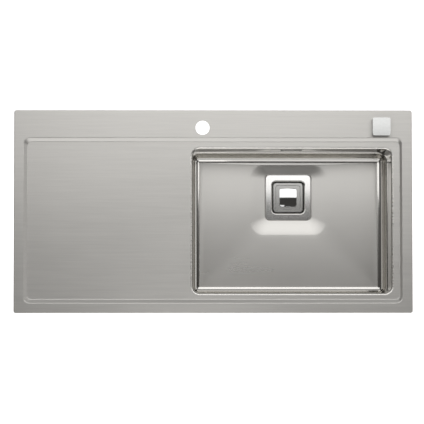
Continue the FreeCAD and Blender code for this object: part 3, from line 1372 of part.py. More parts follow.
# ---- All pieces -------------------------------------------------------------------------------
PIECES = {
    "deck_panel": deck_panel,
    "bowl_shell": bowl_shell,
    "edge_seal": edge_seal,
    "clip_rails_front": lambda: clip_rails("front"),
    "clip_rails_back": lambda: clip_rails("back"),
    "clip_rails_left": lambda: clip_rails("left"),
    "clip_rails_right": lambda: clip_rails("right"),
    "fixing_clips": fixing_clips,
    "clip_screws": clip_screws,
    "stiffener_front": lambda: stiffener(TRAY.y - STIFFENER_SPREAD / 2),
    "stiffener_back": lambda: stiffener(TRAY.y + STIFFENER_SPREAD / 2),
    "drainboard_pad": drain_pad,
    "bowl_pad_left": lambda: bowl_side_pad(-1),
    "bowl_pad_right": lambda: bowl_side_pad(1),
    "bowl_pad_front": bowl_front_pad,
    "earth_tag": earth_tag,
    "overflow_plate": overflow_plate,
    "overflow_screws": overflow_screws,
    "overflow_gasket": overflow_gasket,
    "overflow_elbow": overflow_elbow,
    "overflow_hose": overflow_hose,
    "hose_clamps": hose_clamps,
    "waste_flange": waste_flange,
    "flange_seal": flange_seal,
    "body_gasket": body_gasket,
    "waste_body": waste_body,
    "outlet_tail": outlet_tail,
    "inlet_spigot": inlet_spigot,
    "waste_screws": waste_screws,
    "plug_cap": plug_cap,
    "plug_handle": plug_handle,
    "plug_seal": plug_seal,
    "strainer_basket": strainer_basket,
    "plug_screw": plug_screw,
    "lifter_pin": lifter_pin,
    "lift_finger": lift_finger,
    "lever_shaft": lever_shaft,
    "crank_arm": crank_arm,
    "shaft_seal": shaft_seal,
    "gland_nut": gland_nut,
    "cable_bracket": cable_bracket,
    "cable_adjuster": cable_adjuster,
    "cable_sheath": cable_sheath,
    "inner_wire": inner_wire,
    "wire_nipple": wire_nipple,
    "control_housing": control_housing,
    "housing_lid": housing_lid,
    "lid_screws": lid_screws,
    "cable_drum": cable_drum,
    "knob_spindle": knob_spindle,
    "knob": knob,
    "control_nut": control_nut,
    "deck_washer": lambda: ring_round_neck(DECK_TOP, DECK_TOP + CONTROL_WASHER, TOP_NUT_RADIUS),
    "control_gasket": lambda: ring_round_neck(CONTROL_TOP, DECK_UNDER, CONTROL_FLANGE_RADIUS),
}


def main():
    os.makedirs("parts", exist_ok=True)
    for name, make in PIECES.items():
        shape = make()
        box = shape.BoundBox
        print(
            f"{name}: {len(shape.Solids)} solids, valid {shape.isValid()}, {shape.Volume:.0f} mm3, "
            f"x {box.XMin:.1f}..{box.XMax:.1f} y {box.YMin:.1f}..{box.YMax:.1f} "
            f"z {box.ZMin:.1f}..{box.ZMax:.1f}"
        )
        shape.exportStep(f"parts/{name}.step")


main()
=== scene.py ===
import json
import math
from collections import namedtuple

import bpy
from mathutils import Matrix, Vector


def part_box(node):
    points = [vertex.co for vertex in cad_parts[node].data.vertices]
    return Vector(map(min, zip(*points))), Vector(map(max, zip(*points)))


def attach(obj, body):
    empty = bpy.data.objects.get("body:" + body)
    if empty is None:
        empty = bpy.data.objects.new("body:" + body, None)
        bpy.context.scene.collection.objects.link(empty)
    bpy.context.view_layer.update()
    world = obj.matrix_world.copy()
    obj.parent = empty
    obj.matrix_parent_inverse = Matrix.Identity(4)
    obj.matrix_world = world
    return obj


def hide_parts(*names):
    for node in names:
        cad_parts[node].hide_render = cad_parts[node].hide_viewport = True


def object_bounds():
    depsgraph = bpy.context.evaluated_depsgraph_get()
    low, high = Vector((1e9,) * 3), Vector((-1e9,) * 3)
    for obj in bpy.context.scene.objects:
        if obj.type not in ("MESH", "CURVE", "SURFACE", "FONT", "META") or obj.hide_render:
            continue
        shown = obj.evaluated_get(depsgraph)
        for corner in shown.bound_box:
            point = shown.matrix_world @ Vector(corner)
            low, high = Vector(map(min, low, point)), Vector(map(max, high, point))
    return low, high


# Kitchen sink with a drainboard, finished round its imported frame.
# Metres. +X runs along the sink to the bowl, +Y to the back where the tap stands, +Z up.

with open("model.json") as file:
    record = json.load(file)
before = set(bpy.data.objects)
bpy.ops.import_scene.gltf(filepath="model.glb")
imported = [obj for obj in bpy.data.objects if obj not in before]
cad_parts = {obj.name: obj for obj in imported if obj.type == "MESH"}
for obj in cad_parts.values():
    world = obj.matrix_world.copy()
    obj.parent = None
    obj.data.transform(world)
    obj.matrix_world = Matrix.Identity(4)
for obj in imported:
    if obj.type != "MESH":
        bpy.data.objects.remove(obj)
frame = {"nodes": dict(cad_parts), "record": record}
cad_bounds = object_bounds()
node = frame["nodes"]
MM = 0.001

# ---- Sizes read from the frame ------------------------------------------------------------------
deck_low, deck_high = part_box("deck_panel")
bowl_low, bowl_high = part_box("bowl_shell")
flange_low, flange_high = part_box("waste_flange")
knob_low, knob_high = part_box("knob")
handle_low, handle_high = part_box("plug_handle")

# ---- Sizes of the pressings ---------------------------------------------------------------------
SHEET = 1.0 * MM
RIM_CORNER = 6.0 * MM
RIM_ROUNDING = 2.0 * MM
LIP_GAP = 0.3 * MM
RECESS_LEFT, RECESS_RIGHT, RECESS_FRONT, RECESS_BACK = 24.5 * MM, 26.0 * MM, 25.5 * MM, 70.0 * MM
RECESS_CORNER = 16.0 * MM
SLOPE, SLOPE_RIGHT = 9.0 * MM, 5.0 * MM
RECESS_DEPTH = 6.0 * MM
SLOPE_ROUNDING = 1.3 * MM
BOWL_CORNER = 18.0 * MM
BOWL_EDGE_ROUNDING = 6.0 * MM
FLOOR_FILLET = 20.0 * MM
FLOOR_FALL = 5.0 * MM
WALL_LEAN = 0.045
DIP_FALL = 3.4 * MM
DIP_WIDTH = 40.0 * MM
DIP_CORNER = 34.0 * MM
BOWL_DEPTH = 200.0 * MM
WELL_SIDE = 118.0 * MM
WELL_CORNER = 11.0 * MM
WELL_DEPTH = 4.5 * MM
WELL_EDGE_ROUNDING = 2.0 * MM
WELL_HOLE_SIDE = 86.0 * MM
WELL_HOLE_CORNER = 12.5 * MM
HOLE_RADIUS = 17.5 * MM
HANDLE_CORNER = 6.0 * MM
HANDLE_CROWN_RADIUS = 130.0 * MM
HANDLE_ROUNDING = 0.8 * MM
KNOB_CORNER = 5.0 * MM
KNOB_CROWN_RADIUS = 900.0 * MM
KNOB_ROUNDING = 1.2 * MM
# Knob faces that lean less upward than this are painted dark: painted shade on its sides.
SHADED_SIDE_TILT = 0.2
TAP_HOLE_AT = (-27.0 * MM, 210.5 * MM)

# Flat borders beside the rounded edges, and the spacing of contours while they are bridged.
BORDER = 5.0 * MM
BOWL_BORDER = 8.0 * MM
STOREY = 20.0 * MM

CORNER_STEPS = 12
FILLET_STEPS = 10
FLOOR_RINGS = 12
DIP_RINGS = 14
CUTTER_SIDES = 96
CUTTER_LENGTH = 20.0 * MM
BALL_SEGMENTS, BALL_RINGS = 256, 192
ABOVE = (0, 0, 1)


class Plan(namedtuple("Plan", "x y length width corner")):
    """A rectangle with round corners, seen from above."""

    def grow(self, by):
        return Plan(self.x, self.y, self.length + 2 * by, self.width + 2 * by, self.corner + by)

    def toward(self, other, share):
        """The plan that lies this share of the way to another one."""
        return Plan(*(here + (there - here) * share for here, there in zip(self, other)))


def plan_between(low, high, corner):
    """The plan that fills a box seen from above."""
    middle = (low + high) / 2
    return Plan(middle.x, middle.y, high.x - low.x, high.y - low.y, corner)


def plan_inside(outer, left, right, front, back, corner):
    """The plan that leaves four margins inside another."""
    return Plan(
        outer.x + (left - right) / 2,
        outer.y + (front - back) / 2,
        outer.length - left - right,
        outer.width - front - back,
        corner,
    )


RIM = plan_between(deck_low, deck_high, RIM_CORNER)
RECESS = plan_inside(RIM, RECESS_LEFT, RECESS_RIGHT, RECESS_FRONT, RECESS_BACK, RECESS_CORNER)
TRAY = plan_inside(RECESS, SLOPE, SLOPE_RIGHT, SLOPE, SLOPE, RECESS_CORNER - SLOPE_RIGHT)
BOWL = plan_between(bowl_low, bowl_high, BOWL_CORNER + SHEET).grow(-SHEET)
FLAT = BOWL.grow(-FLOOR_FILLET)
WASTE = plan_between(flange_low, flange_high, 0)
WELL = Plan(WASTE.x, WASTE.y, WELL_SIDE, WELL_SIDE, WELL_CORNER)
DIP_BACK = FLAT.y + FLAT.width / 2 - WELL.y - WELL_SIDE / 2 - BORDER
DIP = plan_inside(
    WELL.grow(DIP_WIDTH), 0, 0, 0, DIP_WIDTH - DIP_BACK, DIP_CORNER
)
WELL_HOLE = Plan(WASTE.x, WASTE.y, WELL_HOLE_SIDE, WELL_HOLE_SIDE, WELL_HOLE_CORNER)

DECK_TOP = deck_high.z
TRAY_TOP = DECK_TOP - RECESS_DEPTH
COLLAR_END = bowl_high.z
FLOOR_EDGE = DECK_TOP - BOWL_DEPTH
FLOOR_LOW = FLOOR_EDGE - FLOOR_FALL
LEDGE_TOP = FLOOR_LOW - WELL_DEPTH


# ---- Modelling helpers --------------------------------------------------------------------------
def clear_selection():
    """Nothing selected, and out of edit mode."""
    if bpy.context.object and bpy.context.object.mode != "OBJECT":
        bpy.ops.object.mode_set(mode="OBJECT")
    bpy.ops.object.select_all(action="DESELECT")


def keep_only(piece):
    """Makes one piece the selected and active one."""
    clear_selection()
    piece.select_set(True)
    bpy.context.view_layer.objects.active = piece


def apply_modifier(piece, kind, **settings):
    """Adds one modifier, sets it and applies it."""
    keep_only(piece)
    modifier = piece.modifiers.new(kind.lower(), kind)
    for name, value in settings.items():
        setattr(modifier, name, value)
    bpy.ops.object.modifier_apply(modifier=modifier.name)


def add_contour(plan, level):
    """Adds a face with round corners to the mesh being edited and leaves it selected."""
    bpy.ops.mesh.select_all(action="DESELECT")
    middle = (plan.x, plan.y, level)
    bpy.ops.mesh.primitive_plane_add(size=1, location=middle)
    bpy.ops.transform.resize(value=(plan.length, plan.width, 1), center_override=middle)
    bpy.ops.mesh.bevel(
        offset=plan.corner, segments=CORNER_STEPS, affect="VERTICES", clamp_overlap=False
    )


def loft(name, contours):
    """A sheet through a stack of contours; a vertex group keeps each one.

    The contours are bridged one storey above another and then lowered to their own levels.
    """
    clear_selection()
    bpy.ops.mesh.primitive_plane_add(size=1)
    piece = bpy.context.object
    piece.name = name
    piece.data.name = name
    bpy.ops.object.mode_set(mode="EDIT")
    bpy.ops.mesh.delete(type="VERT")
    for number, (plan, level) in enumerate(contours):
        add_contour(plan, number * STOREY)
        piece.vertex_groups.new(name=f"contour_{number}")
        piece.vertex_groups.active_index = number
        bpy.ops.object.vertex_group_assign()
        bpy.ops.mesh.delete(type="ONLY_FACE")
    for number in range(1, len(contours)):
        select_contours(piece, number - 1, number)
        bpy.ops.mesh.bridge_edge_loops()
    for number, (plan, level) in enumerate(contours):
        select_contours(piece, number)
        bpy.ops.transform.translate(value=(0, 0, level - number * STOREY))
    bpy.ops.object.mode_set(mode="OBJECT")
    return piece


def select_contours(piece, *numbers):
    """Selects the corners of some contours of the mesh being edited."""
    bpy.ops.mesh.select_all(action="DESELECT")
    for number in numbers:
        piece.vertex_groups.active_index = number
        bpy.ops.object.vertex_group_select()


def solid_loft(name, contours):
    """A closed block through a stack of contours."""
    piece = loft(name, contours)
    keep_only(piece)
    bpy.ops.object.mode_set(mode="EDIT")
    for number in (0, len(contours) - 1):
        select_contours(piece, number)
        bpy.ops.mesh.edge_face_add()
    bpy.ops.mesh.select_all(action="SELECT")
    bpy.ops.mesh.normals_make_consistent(inside=False)
    bpy.ops.object.mode_set(mode="OBJECT")
    return piece


def crown_top(piece, plan, top, radius):
    """Cuts a block's top to a large ball, so that it's crowned to all four sides."""
    clear_selection()
    bpy.ops.mesh.primitive_uv_sphere_add(
        segments=BALL_SEGMENTS,
        ring_count=BALL_RINGS,
        radius=radius,
        location=(plan.x, plan.y, top - radius),
    )
    ball = bpy.context.object
    apply_modifier(piece, "BOOLEAN", object=ball, operation="INTERSECT", solver="EXACT")
    bpy.data.objects.remove(ball)


def round_sharp(piece, width, angle, segments=3):
    """Rounds every edge sharper than an angle."""
    apply_modifier(
        piece,
        "BEVEL",
        limit_method="ANGLE",
        angle_limit=math.radians(angle),
        width=width,
        segments=segments,
    )


def face_up(piece):
    """Turns an open sheet so that its largest face looks upwards."""
    keep_only(piece)
    bpy.ops.object.mode_set(mode="EDIT")
    bpy.ops.mesh.select_all(action="SELECT")
    bpy.ops.mesh.normals_make_consistent(inside=False)
    bpy.ops.object.mode_set(mode="OBJECT")
    largest = max(piece.data.polygons, key=lambda face: face.area * abs(face.normal.z))
    if largest.normal.z < 0:
        bpy.ops.object.mode_set(mode="EDIT")
        bpy.ops.mesh.flip_normals()
        bpy.ops.object.mode_set(mode="OBJECT")


def round_contour(piece, number, width, segments):
    """Rounds the edge that runs along one contour."""
    apply_modifier(
        piece,
        "BEVEL",
        limit_method="VGROUP",
        vertex_group=f"contour_{number}",
        width=width,
        segments=segments,
        use_clamp_overlap=False,
    )


def smooth(piece, angle=40):
    """Smooth shading that leaves flat faces flat."""
    keep_only(piece)
    bpy.ops.object.shade_smooth_by_angle(angle=math.radians(angle))
    apply_modifier(piece, "WEIGHTED_NORMAL", keep_sharp=True)


def drill(piece, x, y, radius, level):
    """Cuts an upright round hole."""
    clear_selection()
    bpy.ops.mesh.primitive_cylinder_add(
        vertices=CUTTER_SIDES, radius=radius, depth=CUTTER_LENGTH, location=(x, y, level)
    )
    cutter = bpy.context.object
    apply_modifier(piece, "BOOLEAN", object=cutter, operation="DIFFERENCE", solver="EXACT")
    bpy.data.objects.remove(cutter)


# ---- Node groups shared by the finishes ---------------------------------------------------------
def new_group(name, inputs, outputs):
    """A shader node group with its sockets; returns it with its input and output nodes."""
    group = bpy.data.node_groups.new(name, "ShaderNodeTree")
    for label, value in inputs:
        socket = group.interface.new_socket(label, in_out="INPUT", socket_type="NodeSocketFloat")
        socket.default_value = value
    for label in outputs:
        group.interface.new_socket(label, in_out="OUTPUT", socket_type="NodeSocketFloat")
    return group, group.nodes.new("NodeGroupInput"), group.nodes.new("NodeGroupOutput")


def math_node(tree, operation, *values, clamp=False):
    """A math node; each value is a number or a socket. Returns its output."""
    added = tree.nodes.new("ShaderNodeMath")
    added.operation = operation
    added.use_clamp = clamp
    for socket, value in zip(added.inputs, values):
        if isinstance(value, (int, float)):
            socket.default_value = value
        else:
            tree.links.new(value, socket)
    return added.outputs[0]


def noise(tree, scale, detail, stretch=(1, 1, 1)):
    """Noise on the piece's own coordinates, stretched along its axes. Runs round 0.5."""
    place = tree.nodes.new("ShaderNodeTexCoord")
    mapping = tree.nodes.new("ShaderNodeMapping")
    mapping.inputs["Scale"].default_value = stretch
    texture = tree.nodes.new("ShaderNodeTexNoise")
    texture.inputs["Scale"].default_value = scale
    texture.inputs["Detail"].default_value = detail
    tree.links.new(place.outputs["Object"], mapping.inputs["Vector"])
    tree.links.new(mapping.outputs["Vector"], texture.inputs["Vector"])
    return texture.outputs["Fac"]


def axis_value(tree, axis):
    """One of the piece's own coordinates, in metres."""
    place = tree.nodes.new("ShaderNodeTexCoord")
    split = tree.nodes.new("ShaderNodeSeparateXYZ")
    tree.links.new(place.outputs["Object"], split.inputs[0])
    return split.outputs[axis]


def ramp(tree, value, start, end, low=0.0, high=1.0):
    """A smooth change from low to high while a value runs from start to end."""
    added = tree.nodes.new("ShaderNodeMapRange")
    added.interpolation_type = "SMOOTHSTEP"
    limits = {"From Min": start, "From Max": end, "To Min": low, "To Max": high}
    for label, number in limits.items():
        added.inputs[label].default_value = number
    tree.links.new(value, added.inputs["Value"])
    return added.outputs["Result"]


def make_brushing():
    """Rolled sheet brushed along X: fine hairs, broader streaks and slow clouds, each round 0."""
    group, start, end = new_group(
        "brushing",
        [("Hairs", 1.0), ("Streaks", 1.0), ("Clouds", 1.0)],
        ["Tone", "Height"],
    )
    layers = [
        ("Hairs", noise(group, 1.0, 4.0, (12, 420, 420))),
        ("Streaks", noise(group, 1.0, 4.0, (4, 150, 150))),
        ("Clouds", noise(group, 5.0, 3.0, (0.6, 1, 1))),
    ]
    total = 0.0
    for label, texture in layers:
        centred = math_node(group, "SUBTRACT", texture, 0.5)
        weighed = math_node(group, "MULTIPLY", centred, start.outputs[label])
        total = math_node(group, "ADD", weighed, total)
    group.links.new(total, end.inputs["Tone"])
    group.links.new(layers[0][1], end.inputs["Height"])
    return group


def make_wear():
    """Marks of use: thin scratches in two directions and small dull spots, from 0 to 1."""
    group, start, end = new_group("wear", [("Scratches", 1.0), ("Spots", 1.0)], ["Mask"])
    across = noise(group, 1.0, 2.0, (30, 700, 90))
    along = noise(group, 1.0, 2.0, (620, 25, 90))
    spots = noise(group, 140.0, 2.0)
    lines = math_node(
        group, "MAXIMUM", ramp(group, across, 0.70, 0.78), ramp(group, along, 0.71, 0.79)
    )
    dots = ramp(group, spots, 0.66, 0.74)
    mask = math_node(
        group,
        "ADD",
        math_node(group, "MULTIPLY", lines, start.outputs["Scratches"]),
        math_node(group, "MULTIPLY", dots, start.outputs["Spots"]),
        clamp=True,
    )
    group.links.new(mask, end.inputs["Mask"])
    return group


def make_moulding():
    """Moulded or cast surface: fine pebbles and slow clouds, each round 0."""
    group, start, end = new_group(
        "moulding", [("Size", 600.0), ("Clouds", 1.0)], ["Tone", "Height"]
    )
    pebbles = noise(group, 600.0, 3.0)
    group.links.new(start.outputs["Size"], pebbles.node.inputs["Scale"])
    clouds = noise(group, 18.0, 3.0)
    fine = math_node(group, "SUBTRACT", pebbles, 0.5)
    fine = math_node(group, "MULTIPLY", fine, 0.35)
    slow = math_node(group, "SUBTRACT", clouds, 0.5)
    slow = math_node(group, "MULTIPLY", slow, start.outputs["Clouds"])
    group.links.new(math_node(group, "ADD", fine, slow), end.inputs["Tone"])
    group.links.new(pebbles, end.inputs["Height"])
    return group


BRUSHING = make_brushing()
WEAR = make_wear()
MOULDING = make_moulding()


# ---- Finishes -----------------------------------------------------------------------------------
def new_material(name):
    """A material with its tree and its shader in reach."""
    material = bpy.data.materials.new(name)
    material.use_nodes = True
    return material, material.node_tree, material.node_tree.nodes["Principled BSDF"]


def place_group(tree, group, **values):
    """Puts a shared group into a material with its own values."""
    added = tree.nodes.new("ShaderNodeGroup")
    added.node_tree = group
    for label, value in values.items():
        added.inputs[label].default_value = value
    return added


def tint(tree, shader, color, tone):
    """The colour, lighter and darker by the tone."""
    shade = tree.nodes.new("ShaderNodeMix")
    shade.data_type = "RGBA"
    shade.clamp_factor = True
    shade.inputs["A"].default_value = (*[part * 0.7 for part in color], 1)
    shade.inputs["B"].default_value = (*[min(1.0, part * 1.3) for part in color], 1)
    tree.links.new(math_node(tree, "ADD", tone, 0.5), shade.inputs["Factor"])
    tree.links.new(shade.outputs["Result"], shader.inputs["Base Color"])


def relief(tree, shader, height, distance, strength=1.0):
    """Bump from a height."""
    bump = tree.nodes.new("ShaderNodeBump")
    bump.inputs["Strength"].default_value = strength
    bump.inputs["Distance"].default_value = distance
    tree.links.new(height, bump.inputs["Height"])
    tree.links.new(bump.outputs["Normal"], shader.inputs["Normal"])


def brushed_steel(name, color, roughness, grain, polished, edge=None, draft=0.0):
    """Brushed stainless sheet.

    grain gives the hairs, streaks, clouds, scratches and depth of the brushing, and polished the
    levels at which its polish starts and is full and the roughness there. edge gives the levels
    between which a painted highlight, a band of lighter colour and rougher finish, comes in and
    goes out, and draft the lean of the walls.
    """
    material, tree, shader = new_material(name)
    hairs, streaks, clouds, scratches, depth = grain
    brushing = place_group(tree, BRUSHING, Hairs=hairs, Streaks=streaks, Clouds=clouds)
    marks = place_group(tree, WEAR, Scratches=scratches, Spots=0.5 * scratches)
    level = axis_value(tree, "Z")
    tone = brushing.outputs["Tone"]
    rough = math_node(tree, "MULTIPLY_ADD", tone, 0.15, roughness)
    rough = math_node(tree, "MULTIPLY_ADD", marks.outputs["Mask"], 0.05, rough)
    start, full, smoothness = polished
    bright = ramp(tree, level, start, full)
    change = math_node(tree, "MULTIPLY", bright, smoothness - roughness)
    rough = math_node(tree, "ADD", rough, change)
    # Painted highlight: a band of lighter colour, with a rougher finish, between the edge levels.
    if edge:
        start, full, fading, gone = edge
        rim_highlight = math_node(
            tree, "MULTIPLY", ramp(tree, level, start, full), ramp(tree, level, gone, fading)
        )
        tone = math_node(tree, "MULTIPLY_ADD", rim_highlight, 0.5, tone)
        rough = math_node(tree, "MULTIPLY_ADD", rim_highlight, 0.15, rough)
    tint(tree, shader, color, tone)
    tree.links.new(rough, shader.inputs["Roughness"])
    height = math_node(tree, "MULTIPLY", brushing.outputs["Height"], depth)
    height = math_node(tree, "MULTIPLY_ADD", level, -draft, height)
    relief(tree, shader, height, 1.0)
    shader.inputs["Metallic"].default_value = 1.0
    return material


def metal(name, color, roughness, clouds=0.15, size=500.0, depth=0.000015, painted_shade_levels=None):
    """Plated, turned or pressed metal with faint clouds and marks of handling.

    The last argument gives the levels at which a painted shade starts and is full: below them
    the colour turns near black, standing in for the shade deep in a hollow.
    """
    material, tree, shader = new_material(name)
    cast = place_group(tree, MOULDING, Size=size, Clouds=clouds)
    marks = place_group(tree, WEAR, Scratches=0.6, Spots=0.4)
    tint(tree, shader, color, cast.outputs["Tone"])
    # Painted shade: below the given levels the colour mixes to near black.
    if painted_shade_levels:
        unshaded_color = shader.inputs["Base Color"].links[0].from_socket
        painted_shade_mix = tree.nodes.new("ShaderNodeMix")
        painted_shade_mix.data_type = "RGBA"
        painted_shade_mix.inputs["B"].default_value = (0.06, 0.058, 0.055, 1)
        tree.links.new(ramp(tree, axis_value(tree, "Z"), *painted_shade_levels), painted_shade_mix.inputs["Factor"])
        tree.links.new(unshaded_color, painted_shade_mix.inputs["A"])
        tree.links.new(painted_shade_mix.outputs["Result"], shader.inputs["Base Color"])
    rough = math_node(tree, "MULTIPLY_ADD", cast.outputs["Tone"], 0.2, roughness)
    rough = math_node(tree, "MULTIPLY_ADD", marks.outputs["Mask"], 0.08, rough)
    tree.links.new(rough, shader.inputs["Roughness"])
    relief(tree, shader, cast.outputs["Height"], depth)
    shader.inputs["Metallic"].default_value = 1.0
    return material


def moulded(name, color, roughness, clouds=0.2, size=700.0, depth=0.00004):
    """Plastic, rubber or foam with its moulded skin."""
    material, tree, shader = new_material(name)
    skin = place_group(tree, MOULDING, Size=size, Clouds=clouds)
    tint(tree, shader, color, skin.outputs["Tone"])
    rough = math_node(tree, "MULTIPLY_ADD", skin.outputs["Tone"], 0.3, roughness)
    tree.links.new(rough, shader.inputs["Roughness"])
    relief(tree, shader, skin.outputs["Height"], depth)
    return material


STEEL = (0.66, 0.645, 0.615)
# The levels, just under the tray, between which the deck changes from satin to polished.
POLISH_STARTS, POLISH_FULL = TRAY_TOP - 0.02 * MM, TRAY_TOP - 0.10 * MM
finish = {
    "satin_steel": brushed_steel(
        "satin_steel",
        STEEL,
        roughness=0.40,
        grain=(0.20, 0.20, 0.25, 0.4, 0.000006),
        polished=(POLISH_STARTS, POLISH_FULL, 0.12),
        # Painted highlight band along the top of the bowl's rounded edge, between these levels.
        edge=(POLISH_STARTS, POLISH_FULL, TRAY_TOP - 1.0 * MM, TRAY_TOP - 2.0 * MM),
    ),
    "bowl_steel": brushed_steel(
        "bowl_steel",
        STEEL,
        roughness=0.28,
        grain=(0.03, 0.05, 0.20, 0.0, 0.00000003),
        polished=(FLOOR_EDGE + 0.02 * MM, FLOOR_EDGE + 0.30 * MM, 0.08),
        draft=WALL_LEAN,
    ),
    "rolled_steel": metal("rolled_steel", (0.58, 0.575, 0.56), 0.42, 0.25, 700.0, 0.00001),
    "polished_steel": metal("polished_steel", (0.74, 0.73, 0.71), 0.13, 0.08, 400.0, 0.000002),
    "flange_steel": metal(
        "flange_steel",
        (0.76, 0.75, 0.73),
        roughness=0.10,
        clouds=0.06,
        depth=0.000001,
        # Painted shade: near black inside the waste's cup, below the plug's rim.
        painted_shade_levels=(FLOOR_LOW - 3.2 * MM, FLOOR_LOW - 5.0 * MM),
    ),
    "cap_steel": metal("cap_steel", (0.45, 0.445, 0.43), 0.15, 0.08, 400.0, 0.000002),
    "bright_chrome": metal("bright_chrome", (0.82, 0.82, 0.82), 0.04, 0.03, 300.0, 0.000002),
    "knob_chrome": metal("knob_chrome", (0.575, 0.58, 0.57), 0.22, 0.03, 300.0, 0.000002),
    # Dark copy of the knob's chrome for its sides and underside: painted shade.
    "knob_side_shade": metal("knob_side_shade", (0.26, 0.26, 0.25), 0.28, 0.10, 400.0, 0.000004),
    "zinc_plate": metal("zinc_plate", (0.55, 0.56, 0.58), 0.35, 0.35),
    "steel_hardware": metal("steel_hardware", (0.60, 0.60, 0.58), 0.25),
    "brass_hardware": metal("brass_hardware", (0.72, 0.55, 0.28), 0.30),
    "black_rubber": moulded("black_rubber", (0.03, 0.03, 0.03), 0.65),
    "foam_strip": moulded("foam_strip", (0.10, 0.10, 0.10), 0.90, 0.3, 1500.0, 0.0002),
    "damping_pad": moulded("damping_pad", (0.06, 0.06, 0.065), 0.75, 0.4, 400.0, 0.0002),
    "white_plastic": moulded("white_plastic", (0.78, 0.78, 0.76), 0.42, 0.1),
    "hose_plastic": moulded("hose_plastic", (0.60, 0.60, 0.60), 0.45, 0.1),
    "grey_plastic": moulded("grey_plastic", (0.20, 0.20, 0.21), 0.50),
    "sheath_black": moulded("sheath_black", (0.03, 0.03, 0.03), 0.45),
}
# Pieces whose look departs from their slot's.
close_look = {"waste_flange": "flange_steel", "plug_cap": "cap_steel"}
slot_of = {part["node"]: part["material_slot"] for part in frame["record"]["subparts"]}
for name, slot in slot_of.items():
    node[name].data.materials.clear()
    node[name].data.materials.append(finish[close_look.get(name, slot)])


# ---- Deck ---------------------------------------------------------------------------------------
def finish_sheet(piece, look, inside):
    """Gives a sheet its own finish on the side that faces a point and a rolled one behind."""
    for name in (look, "rolled_steel"):
        piece.data.materials.append(finish[name])
    for face in piece.data.polygons:
        face.material_index = int(face.normal.dot(face.center - Vector(inside)) > 0)


def make_deck():
    """Pressed deck with its recess, the collar round the bowl and two holes."""
    deck = loft(
        "deck_sheet",
        [
            (RIM, LIP_GAP),
            (RIM, DECK_TOP),
            (RIM.grow(-BORDER), DECK_TOP),
            (RECESS.grow(BORDER), DECK_TOP),
            (RECESS, DECK_TOP),
            (TRAY, TRAY_TOP),
            (TRAY.grow(-BORDER), TRAY_TOP),
            (BOWL.grow(BOWL_BORDER), TRAY_TOP),
            (BOWL, TRAY_TOP),
            (BOWL, COLLAR_END),
        ],
    )
    face_up(deck)
    round_contour(deck, 1, RIM_ROUNDING, 6)
    round_contour(deck, 4, SLOPE_ROUNDING, 6)
    round_contour(deck, 5, SLOPE_ROUNDING, 6)
    round_contour(deck, 8, BOWL_EDGE_ROUNDING, 10)
    apply_modifier(deck, "SOLIDIFY", thickness=SHEET, offset=-1)
    knob_middle = (knob_low + knob_high) / 2
    for x, y in (TAP_HOLE_AT, (knob_middle.x, knob_middle.y)):
        drill(deck, x, y, HOLE_RADIUS, DECK_TOP)
    finish_sheet(deck, "satin_steel", ABOVE)
    smooth(deck)
    finish_piece(deck, "satin_steel", "sink", "deck_panel")


def ease(share):
    """Runs from 0 to 1 with level ends."""
    return share * share * (3 - 2 * share)


def make_bowl():
    """Deep bowl with rounded corners and a floor that dips round the square waste."""
    contours = [(BOWL, COLLAR_END)]
    for step in range(FILLET_STEPS + 1):
        angle = math.pi / 2 * step / FILLET_STEPS
        inward = FLOOR_FILLET * (1 - math.cos(angle))
        level = FLOOR_EDGE + FLOOR_FILLET * (1 - math.sin(angle))
        contours.append((BOWL.grow(-inward), level))
    fall = FLOOR_FALL - DIP_FALL
    for ring in range(1, FLOOR_RINGS + 1):
        share = ring / FLOOR_RINGS
        contours.append((FLAT.toward(DIP, share), FLOOR_EDGE - fall * share))
    for ring in range(1, DIP_RINGS + 1):
        share = ring / DIP_RINGS
        drop = fall + DIP_FALL * (0.35 * ease(share) + 0.65 * share)
        contours.append((DIP.toward(WELL, share), FLOOR_EDGE - drop))
    edge = len(contours) - 1
    contours.append((WELL, LEDGE_TOP))
    contours.append((WELL_HOLE, LEDGE_TOP))
    bowl = loft("bowl_pressing", contours)
    face_up(bowl)
    round_contour(bowl, edge, WELL_EDGE_ROUNDING, 4)
    apply_modifier(bowl, "SOLIDIFY", thickness=SHEET, offset=-1)
    finish_sheet(bowl, "bowl_steel", (BOWL.x, BOWL.y, FLOOR_EDGE / 2))
    smooth(bowl)
    finish_piece(bowl, "bowl_steel", "sink", "bowl_shell")


def make_handle():
    """Chrome grip with a crowned top and softened brows."""
    plan = plan_between(handle_low, handle_high, HANDLE_CORNER)
    grip = solid_loft("handle_grip", [(plan, handle_low.z), (plan, handle_high.z)])
    crown_top(grip, plan, handle_high.z, HANDLE_CROWN_RADIUS)
    round_sharp(grip, HANDLE_ROUNDING, 45)
    smooth(grip, 60)
    finish_piece(grip, "bright_chrome", "plug", "plug_handle")


def make_knob():
    """Square knob with soft corners, a faint crown and bright softened brows."""
    plan = plan_between(knob_low, knob_high, KNOB_CORNER)
    knob = solid_loft("knob_cap", [(plan, knob_low.z), (plan, knob_high.z)])
    crown_top(knob, plan, knob_high.z, KNOB_CROWN_RADIUS)
    round_sharp(knob, KNOB_ROUNDING, 45, 5)
    smooth(knob, 60)
    finish_piece(knob, "knob_chrome", "knob", "knob")
    # Painted shade: the knob's sides and underside get the dark copy of its chrome.
    knob.data.materials.append(finish["knob_side_shade"])
    for face in knob.data.polygons:
        if face.normal.z < SHADED_SIDE_TILT:
            face.material_index = 1


def place_at_origin(piece):
    """Puts the piece's place into its mesh."""
    keep_only(piece)
    bpy.ops.object.transform_apply(location=True, rotation=True, scale=True)


def finish_piece(piece, look, body, *replaced):
    """Gives a piece its finish, the body that it rides on and the nodes that it stands for."""
    place_at_origin(piece)
    piece.vertex_groups.clear()
    if not piece.data.materials:
        piece.data.materials.append(finish[look])
    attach(piece, body)
    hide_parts(*replaced)


make_deck()
make_bowl()
make_handle()
make_knob()


# ---- Floor, lamps and camera --------------------------------------------------------------------
FLOOR_LEVEL = cad_bounds[0].z - 1 * MM


